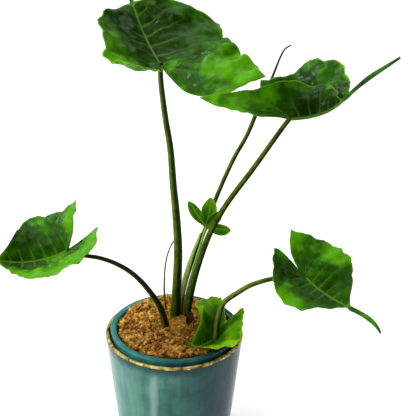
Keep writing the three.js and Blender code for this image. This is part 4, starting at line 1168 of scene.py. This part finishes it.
def lobeMesh(name, foot, tip, width, wave, thickness, rows=30, columns=13, cup=0.3):
    # a cupped, pointed lobe from foot to tip, widest past its middle, with a waved edge
    foot, tip = np.array(foot, float), np.array(tip, float)
    axis = tip - foot
    side = np.array([axis[2], 0, -axis[0]])
    side /= np.linalg.norm(side)
    out = np.cross(side, axis)
    out /= np.linalg.norm(out)
    points, flats, veinPairs = [], [], []
    for i in range(rows + 1):
        share = i / rows
        half = width / 2 * (0.1 + 0.9 * math.sin(math.pi * share ** 1.4) ** 0.8)
        for k in np.linspace(-1, 1, columns):
            ripple = 0.09 * half * k * k * math.sin(9 * share + wave + 2 * k)
            points.append(foot + axis * share + side * k * half + out * (cup * half * k * k + ripple))
            flats.append((k * half * mm, share * np.linalg.norm(axis) * mm))
            veinPairs.append((share * 6 - 0.5 * k * k, min(abs(k), 0.98)))
    piece = meshPiece(name, np.array(points) * mm, gridFaces(rows + 1, columns),
                      uvs={"flat": flats, "veins": veinPairs})
    skin = piece.modifiers.new("skin", "SOLIDIFY")
    skin.thickness = thickness * mm
    skin.offset = -1
    skin.material_offset = 1
    applyModifiers(piece)
    return piece


youngParts = []
foot = np.array(youngLeaf["foot"], float)
for number, (tip, width, wave) in enumerate(youngLeaf["lobes"]):
    youngParts.append(lobeMesh(
        "lobe" + str(number), foot, foot + tip, width, wave, youngLeaf["thickness"]))
deselectAll()
for part in youngParts:
    part.data.materials.append(freshUpper)
    part.data.materials.append(freshUnder)
    part.select_set(True)
bpy.context.view_layer.objects.active = youngParts[0]
bpy.ops.object.join()
finishPiece(bpy.context.active_object, "youngLeafLobes", ["blade_young_leaf"], "young_green",
            freshUpper, freshUnder)

# the sheath that the newest petiole grew out of, still clasping it, pale and satiny
sheath = {
    "from": 0.06, "to": 0.42, "wrap": 150, "facing": 205, "thickness": 0.7, "off": 1.9,
    "rows": 60, "columns": 15}
line = curveThrough([(x, y, z + plantLevel) for x, y, z in petioles["new_leaf"]["route"]])
rows, columns = sheath["rows"], sheath["columns"]
facingAngle = math.radians(sheath["facing"])
points, uvs = [], []
shares = np.linspace(sheath["from"], sheath["to"], rows)
centres = spaced(line, shares)
tangents = np.gradient(centres, axis=0)
tangents /= np.linalg.norm(tangents, axis=1)[:, None]
for i, u in enumerate(shares):
    facing = np.array([math.cos(facingAngle), math.sin(facingAngle), 0])
    facing -= tangents[i] * np.dot(facing, tangents[i])
    facing /= np.linalg.norm(facing)
    side = np.cross(tangents[i], facing)
    radius = stemRadius(petioles["new_leaf"], u) + sheath["off"]
    progress = i / (rows - 1)
    wrap = math.radians(sheath["wrap"]) * (1 - 0.85 * progress ** 3)
    for k in range(columns):
        turn = wrap * (k / (columns - 1) - 0.5)
        flare = 1 + 0.12 * abs(2 * k / (columns - 1) - 1) ** 3 * math.sin(5 * progress + k)
        points.append(centres[i] + radius * flare * (math.cos(turn) * facing + math.sin(turn) * side))
        uvs.append((k / (columns - 1), progress * 0.1))
sheathPiece = meshPiece("sheathPale", np.array(points) * mm, gridFaces(rows, columns), uvs={"along": uvs})
skin = sheathPiece.modifiers.new("skin", "SOLIDIFY")
skin.thickness = sheath["thickness"] * mm
skin.offset = -1
applyModifiers(sheathPiece)
finishPiece(sheathPiece, "sheathPale", ["new_leaf_sheath"], "sheath",
            stemSkin("satinSheathSkin", "#5A7428", "#7F9440", "#A4B266", 0.45))

# a dead scale leaf beside the crown: brown, papery and dull
dryPaper = stemSkin("deadPaperyScale", "#1E1208", "#3A2412", "#6A4828", 0.75)
dryScale = {
    "foot": (15, -9, 156), "tip": (18, -10, 174), "width": 8, "wave": 0.7, "thickness": 0.6, "cup": 0.5}
scalePiece = lobeMesh("scaleDry", dryScale["foot"], dryScale["tip"], dryScale["width"],
                      dryScale["wave"], dryScale["thickness"], cup=dryScale["cup"])
scalePiece.data.uv_layers["flat"].name = "along"
finishPiece(scalePiece, "scaleDry", ["dry_scale"], "dry_scale", dryPaper)
print("stage: young leaf, sheath and scale")
